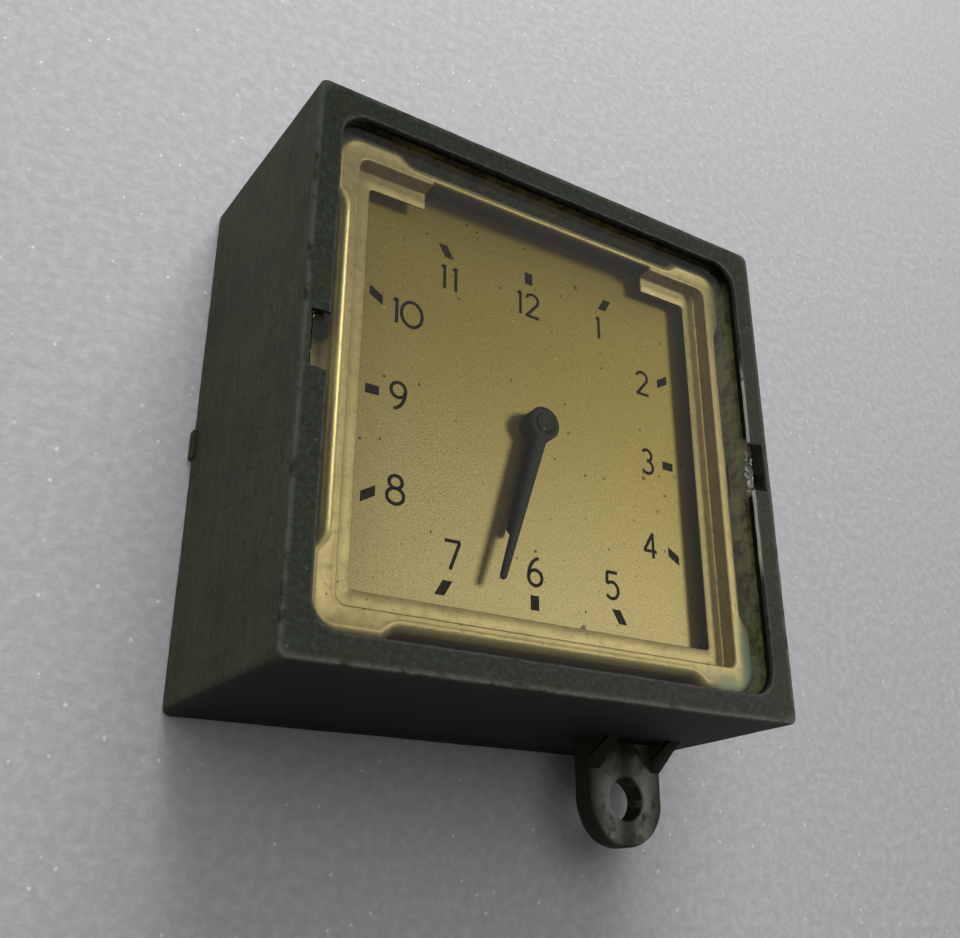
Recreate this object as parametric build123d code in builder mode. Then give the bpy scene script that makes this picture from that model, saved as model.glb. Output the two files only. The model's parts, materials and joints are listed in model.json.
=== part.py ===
"""Square dashboard clock: a die-cast case with two fixing lugs, a flat glass, a pressed brass
mask over a gilt dial, two black hands, and an eight-day lever movement behind them.

The clock lies on its back. +Z comes out of the dial, +X points to three o'clock and +Y to
twelve. The origin is in the middle of the case's rear rim. All sizes are in millimetres.
"""

import os
from math import atan2, cos, degrees, radians, sin

from build123d import *

# %% Driving dimensions: the case and what shows through the glass

front_width = 66.7          # 2 5/8 inch across the front
case_depth = 32.0
front_half = front_width / 2
back_half = 34.0            # the casting's draft makes the rear a little larger
case_corner_r = 1.0
cavity_half = 32.6          # at the open back
cavity_front_half = 32.0
cavity_corner_r = 1.8
rim_thickness = 0.55
gasket_thickness = 0.65
glass_thickness = 1.05
glass_half = 31.9
window_half = 30.25
window_corner_r = 3.4
notch_low, notch_high = -3.5, 3.3
notch_depth = 2.2           # beyond the window's edge
nub_width, nub_height, nub_proud = 3.8, 1.4, 0.5

rim_under = case_depth - rim_thickness
glass_front = rim_under - gasket_thickness
glass_back = glass_front - glass_thickness

lug_x = 23.2
lug_hole_y = -40.8
lug_half = 5.8
lug_hole_r = 2.6
lug_back, lug_front = 8.45, 11.8
rib_thickness = 1.7
rib_tip_y = -37.35
rib_top = 16.3

block_near, block_far = 27.4, 32.9      # corner blocks that the movement screws into
block_low, block_high = 20.4, 24.0
movement_screw_xy = 29.3
cover_screw_xy = 30.4
cover_boss_r = 2.2
cover_boss_height = 6.0

sheet = 0.4                             # the mask's brass
mask_outer_half = 28.65
mask_front = glass_back - 0.8
mask_wall_half = 26.7
mask_ledge_half = 24.46
mask_ledge_front = 26.8
mask_tab_half = 29.9
mask_tab_reach = 8.9                    # along each side, from the tab's corner
mask_tab_corner_r = 3.3
mask_slot_half = 17.05
mask_ear_low, mask_ear_high = -3.2, 2.6    # a sloping ear on each side's middle
mask_ear_half = 31.3

dial_half = 29.8
dial_corner_r = 3.4
dial_thickness = 0.6
dial_front = 24.85
dial_back = dial_front - dial_thickness
dial_hole_r = 2.0
dial_foot_xy = 23.0

# %% Driving dimensions: the movement

front_plate_back, front_plate_front = 19.0, 20.4
back_plate_back, back_plate_front = 8.6, 10.0
plate_half = 27.2
plate_ear, plate_ear_xy = 8.0, 27.7     # square ears that reach the corner blocks
back_plate_half = 24.5
pillar_x, pillar_y = 21.5, 20.0
pivot_r = 0.35
play = 0.05                             # radial running clearance

cover_back, cover_front = 3.2, 4.0
cover_half = 32.2

hour_angle = 90 - 196.37                # both hands stand at about 6:33
minute_angle = 90 - 196.5


def beside(place, distance, angle):
    """The point a distance away from a place, at an angle in degrees from +X."""
    return place[0] + distance * cos(radians(angle)), place[1] + distance * sin(radians(angle))


def bearing(start, end):
    """The direction from one place to another, in degrees from +X."""
    return degrees(atan2(end[1] - start[1], end[0] - start[0]))


barrel_teeth, centre_leaves, barrel_module = 60, 12, 0.36
centre_teeth, third_leaves, centre_module = 80, 10, 0.28
third_teeth, fourth_leaves, third_module = 75, 10, 0.24
fourth_teeth, escape_leaves, fourth_module = 80, 8, 0.20
cannon_leaves, minute_teeth, setting_leaves, cannon_module = 12, 36, 12, 0.40
minute_leaves, hour_teeth, hour_module = 12, 48, 0.32

centre = (0.0, 0.0)
barrel_at = beside(centre, (barrel_teeth + centre_leaves) * barrel_module / 2, 150)
third_at = beside(centre, (centre_teeth + third_leaves) * centre_module / 2, -25)
fourth_at = beside(third_at, (third_teeth + fourth_leaves) * third_module / 2, -135)
escape_at = beside(fourth_at, (fourth_teeth + escape_leaves) * fourth_module / 2, 185)
pallet_at = beside(escape_at, 5.7, 160)
balance_at = beside(pallet_at, 6.5, 160)
minute_at = beside(centre, (cannon_leaves + minute_teeth) * cannon_module / 2, 60)
setting_at = beside(minute_at, (minute_teeth + setting_leaves) * cannon_module / 2, 60)
train = (third_at, fourth_at, escape_at, pallet_at)
corners = [(x, y) for x in (-1, 1) for y in (-1, 1)]

# %% Helpers


def at(place, height):
    """The level plane through a place at a height."""
    return Plane(origin=(place[0], place[1], height))


def four(x, y):
    """The four mirrored places of one place."""
    return [(side_x * x, side_y * y) for side_x, side_y in corners]


def turned(place, *steps, mode=Mode.ADD):
    """Adds, or cuts, round steps on one axis: each is (low, high, radius)."""
    for low, high, radius in steps:
        with BuildSketch(at(place, low)) as disc:
            Circle(radius)
        extrude(disc.sketch, amount=high - low, mode=mode)


def drilled(places, low, high, radius):
    """Cuts the same hole at each place."""
    with BuildSketch(Plane.XY.offset(low)) as holes:
        with Locations(*places):
            Circle(radius)
    extrude(holes.sketch, amount=high - low, mode=Mode.SUBTRACT)


def square_prism(half, corner_r, low, high, mode=Mode.ADD, taper=0.0):
    """Adds, or cuts, a square with rounded corners between two heights."""
    with BuildSketch(Plane.XY.offset(low)) as square:
        RectangleRounded(2 * half, 2 * half, corner_r)
    extrude(square.sketch, amount=high - low, mode=mode, taper=taper)


def toothed_disc(teeth, module, first, root, tip, widths):
    """A disc with slim straight teeth. Root and tip are heights from the pitch circle, and
    widths are the tooth's at root, pitch and tip, all in modules."""
    pitch_r = teeth * module / 2
    root_r = pitch_r - root * module
    tip_r = pitch_r + tip * module
    base_r = root_r - 0.3 * module
    at_root, at_pitch, at_tip = [width * module / 2 for width in widths]
    Circle(root_r)
    with PolarLocations(0, teeth, start_angle=first):
        Polygon(
            (base_r, -at_root), (pitch_r, -at_pitch), (tip_r, -at_tip),
            (tip_r, at_tip), (pitch_r, at_pitch), (base_r, at_root), align=None,
        )


def wheel(place, low, high, teeth, module, first, hole_r, rim_share=0.86):
    """Adds a wheel with four spokes, or a solid one if rim_share is 0."""
    with BuildSketch(at(place, low)) as outline:
        toothed_disc(teeth, module, first, 0.95, 0.75, (1.45, 1.25, 0.55))
        if rim_share:
            rim_r = teeth * module / 2 * rim_share
            Circle(rim_r, mode=Mode.SUBTRACT)
            for turn in (0, 90):
                Rectangle(2 * rim_r + module, 4 * module, rotation=turn)
            Circle(rim_r * 0.3)
        Circle(hole_r, mode=Mode.SUBTRACT)
    extrude(outline.sketch, amount=high - low)


def pinion(place, low, high, leaves, module, first):
    """Adds a pinion, whose leaves have nearly radial sides."""
    with BuildSketch(at(place, low)) as outline:
        toothed_disc(leaves, module, first, 1.25, 0.45, (0.8, 1.0, 0.7))
    extrude(outline.sketch, amount=high - low)


def meshed(driver_first, driver_teeth, direction, follower_teeth):
    """The first-tooth angle that puts a follower's gap on the driver's tooth."""
    ahead = driver_first - direction
    return direction + 180 + 180 / follower_teeth - ahead * driver_teeth / follower_teeth


def spiral(place, low, high, inner_r, pitch, half_turns, width):
    """Adds a flat spiral band made of half circles about two centres."""
    step = pitch / 2
    with BuildSketch(at(place, low)) as band:
        with BuildLine():
            for turn in range(half_turns):
                middle = (step * (turn % 2), 0)
                CenterArc(middle, inner_r + step * turn, 180 * (turn % 2), 180)
        trace(line_width=width)
    extrude(band.sketch, amount=high - low)


def finish(piece, name):
    """Labels a piece and writes its STEP file."""
    piece.part.label = name
    export_step(piece.part, f"parts/{name}.step")


os.makedirs("parts", exist_ok=True)

# %% Case: one die casting, open at the back, with a thin rim round the window

case_draft = degrees(atan2(back_half - front_half, case_depth))
cavity_draft = degrees(atan2(cavity_half - cavity_front_half, rim_under))

with BuildPart() as case:
    square_prism(back_half, case_corner_r, 0, case_depth, taper=case_draft)
    fillet(case.faces().sort_by(Axis.Z)[-1].edges(), 0.3)
    square_prism(cavity_half, cavity_corner_r, 0, rim_under, Mode.SUBTRACT, cavity_draft)
    square_prism(window_half, window_corner_r, rim_under, case_depth, Mode.SUBTRACT)
    with BuildSketch(Plane.XY.offset(glass_back - 0.4)):
        for side in (-1, 1):
            with Locations((side * (window_half + notch_depth / 2 - 1), (notch_low + notch_high) / 2)):
                Rectangle(notch_depth + 2, notch_high - notch_low)
    extrude(amount=case_depth - glass_back + 0.4, mode=Mode.SUBTRACT)
    with BuildSketch(Plane.XY.offset(block_low)):
        with Locations(*four((block_near + block_far) / 2, (block_near + block_far) / 2)):
            Rectangle(block_far - block_near, block_far - block_near)
    extrude(amount=block_high - block_low)
    drilled(four(movement_screw_xy, movement_screw_xy), block_low, block_high, 0.8)
    with BuildSketch(Plane.XY.offset(cover_front)):
        with PolarLocations(cover_screw_xy, 4):
            Circle(cover_boss_r)
            with Locations((1.3, 0)):
                Rectangle(2.6, 2 * cover_boss_r)
    extrude(amount=cover_boss_height)
    with BuildSketch(Plane.XY.offset(cover_front)):
        with PolarLocations(cover_screw_xy, 4):
            Circle(0.95)
    extrude(amount=cover_boss_height - 1, mode=Mode.SUBTRACT)
    for side in (-1, 1):
        with BuildSketch(Plane(origin=(0, 0, lug_back), x_dir=(side, 0, 0), z_dir=(0, 0, 1))):
            with Locations((lug_x, lug_hole_y)):
                Circle(lug_half)
                Rectangle(2 * lug_half, 7.8, align=(Align.CENTER, Align.MIN))
                Circle(lug_hole_r, mode=Mode.SUBTRACT)
        extrude(amount=lug_front - lug_back)
        for rib_x in (lug_x - lug_half, lug_x + lug_half - rib_thickness):
            rib_plane = Plane(origin=(side * rib_x, 0, 0), x_dir=(0, side, 0), z_dir=(side, 0, 0))
            with BuildSketch(rib_plane):
                Polygon(
                    (-33.0, rib_top + 0.8), (-33.0, lug_back + 1), (rib_tip_y, lug_back + 1),
                    (rib_tip_y, lug_front), align=None,
                )
            extrude(amount=rib_thickness)
    with BuildSketch():
        with PolarLocations(back_half, 2):
            with Locations((0, 1.0)):
                Rectangle(2 * nub_proud, nub_width)
    extrude(amount=nub_height)
finish(case, "case")

# %% Glass and the black cement that beds it

with BuildPart() as glass:
    square_prism(glass_half, 1.4, glass_back, glass_front)
finish(glass, "glass")

with BuildPart() as glass_cement:
    square_prism(glass_half - 0.1, 1.4, glass_front, rim_under)
    square_prism(window_half + 0.12, window_corner_r, glass_front, rim_under, Mode.SUBTRACT)
    with BuildSketch(Plane.XY.offset(glass_front)):
        Rectangle(2 * glass_half, notch_high - notch_low + 1)
    extrude(amount=gasket_thickness, mode=Mode.SUBTRACT)
finish(glass_cement, "glass_cement")

# %% Mask: pressed brass, a raised frame with walls back to the dial and a ledge inside


def mask_outline(inset, low, high, mode):
    """Adds, or cuts, the mask's outer shape: a square whose sides step in between the corners."""
    with BuildSketch(Plane.XY.offset(low)) as outline:
        RectangleRounded(2 * (mask_outer_half - inset), 2 * (mask_outer_half - inset), 1.0)
        corner_side = mask_tab_reach - 2 * inset
        corner_middle = mask_tab_half - mask_tab_reach / 2
        with Locations(*four(corner_middle, corner_middle)):
            RectangleRounded(corner_side, corner_side, mask_tab_corner_r - inset)
    extrude(outline.sketch, amount=high - low, mode=mode)


with BuildPart() as dial_mask:
    mask_outline(0, dial_front, mask_front, Mode.ADD)
    mask_outline(sheet, dial_front, mask_front - sheet, Mode.SUBTRACT)
    square_prism(mask_wall_half + sheet, 1.0, mask_ledge_front - sheet, mask_front - sheet / 2)
    square_prism(mask_wall_half, 0.6, mask_ledge_front, mask_front, Mode.SUBTRACT)
    square_prism(mask_ledge_half, 0.4, dial_front, mask_ledge_front, Mode.SUBTRACT)
    with BuildSketch(Plane.XY.offset(dial_front)):
        slot_width = mask_wall_half + sheet - mask_ledge_half + 1
        with Locations((0, mask_wall_half + sheet - slot_width / 2)):
            Rectangle(2 * mask_slot_half, slot_width)
    extrude(amount=mask_front - dial_front, mode=Mode.SUBTRACT)
    for side in (-1, 1):
        ear_plane = Plane(origin=(0, mask_ear_low, 0), x_dir=(side, 0, 0), z_dir=(0, -side, 0))
        with BuildSketch(ear_plane):
            Polygon(
                (mask_outer_half - 0.3, mask_front - 0.6), (mask_outer_half, mask_front - 0.15),
                (mask_ear_half, mask_front - 2.8), (mask_ear_half - 0.4, mask_front - 3.0),
                align=None,
            )
        extrude(amount=-side * (mask_ear_high - mask_ear_low))
finish(dial_mask, "dial_mask")

# %% Dial and its four feet

with BuildPart() as dial:
    square_prism(dial_half, dial_corner_r, dial_back, dial_front)
    drilled([centre], dial_back, dial_front, dial_hole_r)
finish(dial, "dial")

with BuildPart() as dial_feet:
    for place in four(dial_foot_xy, dial_foot_xy):
        turned(place, (front_plate_back, front_plate_front, 0.9), (front_plate_front, dial_back, 1.5))
finish(dial_feet, "dial_feet")

# %% Plates, pillars and screws

with BuildPart() as front_plate:
    square_prism(plate_half, 2.0, front_plate_back, front_plate_front)
    with BuildSketch(Plane.XY.offset(front_plate_back)):
        with Locations(*four(plate_ear_xy, plate_ear_xy)):
            RectangleRounded(plate_ear, plate_ear, 2.4)
    extrude(amount=front_plate_front - front_plate_back)
    drilled(four(movement_screw_xy, movement_screw_xy), front_plate_back, front_plate_front, 0.8)
    drilled(four(dial_foot_xy, dial_foot_xy), front_plate_back, front_plate_front, 0.9)
    drilled(four(pillar_x, pillar_y), front_plate_back, front_plate_front, 0.9)
    drilled(train, front_plate_back, front_plate_front, pivot_r + play)
    drilled([balance_at], front_plate_back, front_plate_front, 0.3 + play)
    drilled([centre], front_plate_back, front_plate_front, 0.6 + play)
    drilled([barrel_at], front_plate_back, front_plate_front, 1.2 + play)
    drilled([setting_at], front_plate_back, front_plate_front, 0.9 + play)
    drilled([minute_at], front_plate_back, front_plate_front, 0.8)
finish(front_plate, "front_plate")

with BuildPart() as back_plate:
    square_prism(back_plate_half, 3.0, back_plate_back, back_plate_front)
    drilled(four(pillar_x, pillar_y), back_plate_back, back_plate_front, 0.8)
    drilled(train, back_plate_back, back_plate_front, pivot_r + play)
    drilled([centre], back_plate_back, back_plate_front, 0.6 + play)
    drilled([barrel_at], back_plate_back, back_plate_front, 1.2 + play)
    drilled([setting_at], back_plate_back, back_plate_front, 0.9 + play)
    drilled([balance_at], back_plate_back, back_plate_front, 1.0)
    cock_foot_at = beside(balance_at, 9.4, 285)
    drilled([cock_foot_at], back_plate_back, back_plate_front, 0.7)
    click_at = beside(barrel_at, 6.8, 60)
    drilled([click_at], back_plate_back, back_plate_front, 0.7)
    spring_foot_at = beside(click_at, 5.4, 20)
    drilled([spring_foot_at], back_plate_back, back_plate_front, 0.6)
finish(back_plate, "back_plate")

with BuildPart() as pillars:
    for place in four(pillar_x, pillar_y):
        turned(
            place, (back_plate_front, front_plate_back, 1.7),
            (front_plate_back, front_plate_front, 0.9),
        )
        turned(place, (back_plate_front, back_plate_front + 3, 0.8), mode=Mode.SUBTRACT)
finish(pillars, "pillars")


def screws(places, head_back, shank_low, shank_high, head_r, shank_r, slot):
    """Adds slotted cheese-head screws, heads towards the back."""
    for place in places:
        turned(place, (head_back, shank_low, head_r), (shank_low, shank_high, shank_r))
        with BuildSketch(at(place, head_back)) as cut:
            Rectangle(2 * head_r + 1, slot)
        extrude(cut.sketch, amount=(shank_low - head_back) * 0.45, mode=Mode.SUBTRACT)


with BuildPart() as plate_screws:
    screws(four(pillar_x, pillar_y), 7.5, back_plate_back, back_plate_front + 2.8, 1.6, 0.8, 0.35)
finish(plate_screws, "plate_screws")

with BuildPart() as movement_screws:
    movement_places = four(movement_screw_xy, movement_screw_xy)
    screws(movement_places, 17.8, front_plate_back, block_high - 0.2, 1.5, 0.8, 0.35)
finish(movement_screws, "movement_screws")

# %% Motion works between the front plate and the dial, and the hands

hub_r = 2.13
hour_pipe_r, cannon_pipe_r, arbor_tip_r = 1.5, 0.9, 0.5
hour_hand_low, hour_hand_high = 25.85, 26.15
minute_hand_low, minute_hand_high = 26.9, 27.3


def hand(height, thickness, length, root_width, tip_width, angle):
    """Adds a tapering blade with a rounded point and a round hub."""
    along = (cos(radians(angle)), sin(radians(angle)), 0)
    with BuildSketch(Plane(origin=(0, 0, height), x_dir=along)) as blade:
        with BuildLine():
            Line((0, -root_width / 2), (length - tip_width / 2, -tip_width / 2))
            ThreePointArc(
                (length - tip_width / 2, -tip_width / 2), (length, 0),
                (length - tip_width / 2, tip_width / 2),
            )
            Line((length - tip_width / 2, tip_width / 2), (0, root_width / 2))
            Line((0, root_width / 2), (0, -root_width / 2))
        make_face()
        Circle(hub_r)
    extrude(blade.sketch, amount=thickness)


with BuildPart() as hour_hand:
    hand(hour_hand_low, hour_hand_high - hour_hand_low, 15.2, 2.5, 1.3, hour_angle)
    turned(centre, (dial_front + 0.3, hour_hand_low, hub_r))
    drilled([centre], dial_front, hour_hand_high, hour_pipe_r)
finish(hour_hand, "hour_hand")

with BuildPart() as minute_hand:
    hand(minute_hand_low, minute_hand_high - minute_hand_low, 21.3, 1.95, 0.85, minute_angle)
    turned(centre, (hour_hand_high + 0.2, minute_hand_low, 1.6), (minute_hand_high, 27.5, 1.2))
    drilled([centre], hour_hand_high, 27.5, cannon_pipe_r)
finish(minute_hand, "minute_hand")

minute_first = meshed(0, cannon_leaves, 60, minute_teeth)
with BuildPart() as cannon_pinion:
    pinion(centre, 20.9, 22.0, cannon_leaves, cannon_module, 0)
    turned(centre, (22.0, 22.2, 1.3), (22.2, 27.4, cannon_pipe_r))
    drilled([centre], 20.9, 27.4, arbor_tip_r + 0.04)
finish(cannon_pinion, "cannon_pinion")

with BuildPart() as minute_wheel:
    wheel(minute_at, 21.2, 21.7, minute_teeth, cannon_module, minute_first, 0.8 + play, 0.82)
    pinion(minute_at, 21.7, 23.3, minute_leaves, hour_module, 240)
    drilled([minute_at], 21.2, 23.3, 0.8 + play)
finish(minute_wheel, "minute_wheel")

with BuildPart() as minute_wheel_post:
    turned(minute_at, (front_plate_back, 23.8, 0.8))
    turned(minute_at, (front_plate_front, 21.0, 1.5))
finish(minute_wheel_post, "minute_wheel_post")

with BuildPart() as hour_wheel:
    hour_first = meshed(240, minute_leaves, 240, hour_teeth)
    wheel(centre, 22.5, 23.0, hour_teeth, hour_module, hour_first, cannon_pipe_r + play, 0.8)
    turned(centre, (23.0, hour_hand_high, hour_pipe_r))
    drilled([centre], 22.5, hour_hand_high, cannon_pipe_r + play)
finish(hour_wheel, "hour_wheel")

with BuildPart() as setting_arbor:
    setting_first = meshed(minute_first, minute_teeth, 60, setting_leaves)
    turned(setting_at, (1.2, 22.0, 0.9), (back_plate_front + 0.1, back_plate_front + 1.1, 1.8))
    pinion(setting_at, 20.9, 22.0, setting_leaves, cannon_module, setting_first)
finish(setting_arbor, "setting_arbor")


def knob(place, radius, low, high, bore_r, grooves):
    """Adds a knob with a grooved edge and a blind bore from its inner side."""
    with BuildSketch(at(place, low)) as grip:
        Circle(radius)
        with PolarLocations(radius + 0.15, grooves):
            Circle(0.45, mode=Mode.SUBTRACT)
    extrude(grip.sketch, amount=high - low)
    turned(place, (1.2, high, bore_r), mode=Mode.SUBTRACT)


with BuildPart() as setting_knob:
    knob(setting_at, 4.0, 0.5, 2.9, 0.9, 18)
finish(setting_knob, "setting_knob")

# %% Barrel, mainspring and winding work

with BuildPart() as barrel:
    wheel(barrel_at, 10.9, 11.9, barrel_teeth, barrel_module, 0, 1.3, 0)
    turned(barrel_at, (11.9, 16.6, 9.8))
    turned(barrel_at, (11.6, 16.6, 9.1), mode=Mode.SUBTRACT)
finish(barrel, "barrel")

with BuildPart() as barrel_cover:
    turned(barrel_at, (16.0, 16.6, 9.1))
    drilled([barrel_at], 16.0, 16.6, 1.3)
finish(barrel_cover, "barrel_cover")

with BuildPart() as mainspring:
    spiral(barrel_at, 11.9, 15.7, 2.9, 0.62, 18, 0.22)
finish(mainspring, "mainspring")

with BuildPart() as barrel_arbor:
    turned(
        barrel_at, (1.2, 11.7, 1.2), (11.7, 15.9, 2.2), (15.9, 18.9, 1.25),
        (18.9, front_plate_front - 0.2, 1.2),
    )
finish(barrel_arbor, "barrel_arbor")

with BuildPart() as winding_knob:
    knob(barrel_at, 6.0, 0.4, 2.9, 1.2, 28)
finish(winding_knob, "winding_knob")

ratchet_tip_r, ratchet_teeth = 4.6, 24
with BuildPart() as ratchet_wheel:
    with BuildSketch(at(barrel_at, 7.2)):
        Circle(3.9)
        with PolarLocations(0, ratchet_teeth):
            Polygon((3.7, -0.5), (ratchet_tip_r, 0.35), (3.7, 0.4), align=None)
        Circle(1.2, mode=Mode.SUBTRACT)
    extrude(amount=1.0)
finish(ratchet_wheel, "ratchet_wheel")

to_ratchet = bearing(click_at, barrel_at)
with BuildPart() as click:
    click_plane = Plane(
        origin=(click_at[0], click_at[1], 7.2),
        x_dir=(cos(radians(to_ratchet + 62)), sin(radians(to_ratchet + 62)), 0),
    )
    with BuildSketch(click_plane):
        Circle(1.4)
        Polygon((0, -0.9), (2.6, -1.25), (2.6, -0.75), (0, 0.9), align=None)
        Circle(0.7 + play, mode=Mode.SUBTRACT)
    extrude(amount=1.0)
finish(click, "click")

with BuildPart() as click_screw:
    turned(click_at, (6.5, 7.1, 1.3), (7.1, back_plate_front, 0.7))
finish(click_screw, "click_screw")

with BuildPart() as click_spring:
    spring_end = beside(click_at, 1.9, 75)
    with BuildSketch(Plane.XY.offset(7.4)):
        with BuildLine():
            ThreePointArc(spring_foot_at, beside(click_at, 3.9, 52), spring_end)
        trace(line_width=0.25)
        with Locations(spring_foot_at):
            Circle(1.1)
    extrude(amount=0.6)
    turned(spring_foot_at, (8.0, back_plate_front, 0.6))
finish(click_spring, "click_spring")

# %% Going train: each arbor carries its pinion, and its wheel is pressed on


def arbor(place, body_r, pinion_low, pinion_high, leaves, module, first):
    """Adds an arbor with a pivot in each plate and its pinion."""
    turned(
        place, (back_plate_back + 0.1, back_plate_front + 0.2, pivot_r),
        (back_plate_front + 0.2, front_plate_back - 0.2, body_r),
        (front_plate_back - 0.2, front_plate_front - 0.1, pivot_r),
    )
    pinion(place, pinion_low, pinion_high, leaves, module, first)


centre_first = meshed(0, barrel_teeth, bearing(barrel_at, centre), centre_leaves)
with BuildPart() as centre_arbor:
    turned(
        centre, (back_plate_back + 0.1, back_plate_front + 0.2, 0.6),
        (back_plate_front + 0.2, front_plate_back - 0.2, 1.1),
        (front_plate_back - 0.2, front_plate_front + 0.3, 0.6),
        (front_plate_front + 0.3, 27.35, arbor_tip_r),
    )
    pinion(centre, 10.6, 12.8, centre_leaves, barrel_module, centre_first)
finish(centre_arbor, "centre_arbor")

with BuildPart() as centre_wheel:
    wheel(centre, 17.4, 17.9, centre_teeth, centre_module, 0, 1.1)
finish(centre_wheel, "centre_wheel")

third_first = meshed(0, centre_teeth, bearing(centre, third_at), third_leaves)
with BuildPart() as third_arbor:
    arbor(third_at, 0.6, 16.8, 18.4, third_leaves, centre_module, third_first)
finish(third_arbor, "third_arbor")

with BuildPart() as third_wheel:
    wheel(third_at, 15.2, 15.6, third_teeth, third_module, 0, 0.6)
finish(third_wheel, "third_wheel")

fourth_first = meshed(0, third_teeth, bearing(third_at, fourth_at), fourth_leaves)
with BuildPart() as fourth_arbor:
    arbor(fourth_at, 0.55, 14.8, 16.0, fourth_leaves, third_module, fourth_first)
finish(fourth_arbor, "fourth_arbor")

with BuildPart() as fourth_wheel:
    wheel(fourth_at, 13.2, 13.6, fourth_teeth, fourth_module, 0, 0.55)
finish(fourth_wheel, "fourth_wheel")

escape_first = meshed(0, fourth_teeth, bearing(fourth_at, escape_at), escape_leaves)
with BuildPart() as escape_arbor:
    arbor(escape_at, 0.45, 12.8, 14.0, escape_leaves, fourth_module, escape_first)
finish(escape_arbor, "escape_arbor")

escape_tip_r, escape_teeth = 4.6, 15
with BuildPart() as escape_wheel:
    with BuildSketch(at(escape_at, 11.4)):
        Circle(3.5)
        Circle(2.8, mode=Mode.SUBTRACT)
        with PolarLocations(0, escape_teeth):
            Polygon((3.3, -0.35), (escape_tip_r, 0.5), (escape_tip_r - 0.15, 0.85), (3.3, 0.35),
                    align=None)
        for turn in (0, 60, 120):
            Rectangle(6, 0.6, rotation=turn)
        Circle(1.0)
        Circle(0.45, mode=Mode.SUBTRACT)
    extrude(amount=0.4)
finish(escape_wheel, "escape_wheel")

# %% Lever, balance and cock

pallet_reach = 5.05                     # from the escape arbor, just clear of the tooth tips
to_balance = bearing(pallet_at, balance_at)
with BuildPart() as pallet_lever:
    with BuildSketch(Plane.XY.offset(11.2)):
        for swing in (-36, 36):
            stone = beside(escape_at, pallet_reach + 0.35, to_balance + swing)
            with BuildLine(mode=Mode.PRIVATE) as arm:
                Line(pallet_at, stone)
            trace(arm.line, line_width=0.7)
        with BuildLine(mode=Mode.PRIVATE) as shank:
            Line(pallet_at, beside(pallet_at, 4.0, to_balance))
        trace(shank.line, line_width=0.7)
        with Locations(beside(pallet_at, 4.1, to_balance)):
            Rectangle(0.8, 1.7, rotation=to_balance)
        with Locations(pallet_at):
            Circle(0.9)
    extrude(amount=0.7)
    turned(
        pallet_at, (back_plate_back + 0.1, back_plate_front + 0.2, pivot_r),
        (back_plate_front + 0.2, front_plate_back - 0.2, 0.5),
        (front_plate_back - 0.2, front_plate_front - 0.1, pivot_r),
    )
finish(pallet_lever, "pallet_lever")

with BuildPart() as balance_staff:
    turned(
        balance_at, (4.7, 5.6, 0.3), (5.6, 18.8, 0.5), (18.8, front_plate_front - 0.1, 0.3),
        (5.8, 6.4, 0.9), (11.1, 11.4, 1.7),
    )
    turned(beside(balance_at, 1.4, to_balance + 180), (11.4, 12.1, 0.15))
finish(balance_staff, "balance_staff")

with BuildPart() as balance_wheel:
    with BuildSketch(at(balance_at, 7.0)):
        Circle(6.4)
        Circle(5.6, mode=Mode.SUBTRACT)
        Rectangle(11.6, 1.0)
        Circle(1.3)
        Circle(0.5, mode=Mode.SUBTRACT)
    extrude(amount=0.7)
finish(balance_wheel, "balance_wheel")

with BuildPart() as hairspring:
    spiral(balance_at, 5.9, 6.3, 1.35, 0.55, 10, 0.12)
finish(hairspring, "hairspring")

with BuildPart() as balance_cock:
    with BuildSketch(Plane.XY.offset(4.6)):
        with BuildLine(mode=Mode.PRIVATE) as cock_arm:
            Line(cock_foot_at, balance_at)
        trace(cock_arm.line, line_width=2.6)
        with Locations(balance_at, cock_foot_at):
            Circle(2.0)
    extrude(amount=0.8)
    with BuildSketch(Plane.XY.offset(5.4)):
        with Locations(cock_foot_at):
            Circle(2.0)
    extrude(amount=back_plate_back - 5.4)
    drilled([balance_at], 4.6, 5.4, 0.3 + play)
    drilled([cock_foot_at], 4.6, back_plate_back, 0.7)
    drilled([cock_foot_at], 4.6, 5.4, 1.3)
finish(balance_cock, "balance_cock")

with BuildPart() as cock_screw:
    screws([cock_foot_at], 4.6, 5.4, back_plate_front, 1.3, 0.7, 0.3)
finish(cock_screw, "cock_screw")

# %% Back cover, recessed so that the knobs stay inside the case's skirt

with BuildPart() as back_cover:
    square_prism(cover_half, 1.6, cover_back, cover_front)
    fillet(back_cover.faces().sort_by(Axis.Z)[0].edges(), 0.3)
    with BuildSketch(Plane.XY.offset(cover_back)):
        with PolarLocations(cover_screw_xy, 4):
            Circle(0.95)
    extrude(amount=cover_front - cover_back, mode=Mode.SUBTRACT)
    drilled([barrel_at], cover_back, cover_front, 1.7)
    drilled([setting_at], cover_back, cover_front, 1.4)
finish(back_cover, "back_cover")

with BuildPart() as cover_screws:
    cover_places = [beside(centre, cover_screw_xy, turn) for turn in (0, 90, 180, 270)]
    screws(cover_places, 2.1, cover_back, cover_front + 4.8, 1.8, 0.95, 0.4)
finish(cover_screws, "cover_screws")
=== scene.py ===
# %% [markdown]
# # A square dashboard clock
#
# The clock is a die-cast zinc case with a flat glass bedded in black cement. Behind the glass
# a pressed brass mask frames a gilt dial with two black hands. The lever movement behind the
# dial comes from the CAD model, which is loaded here as a fixed frame. The shapes that show
# are built again with softer edges and real sheet bends, and every finish is made of nodes.

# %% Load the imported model
import json
from math import pi, radians

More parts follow.
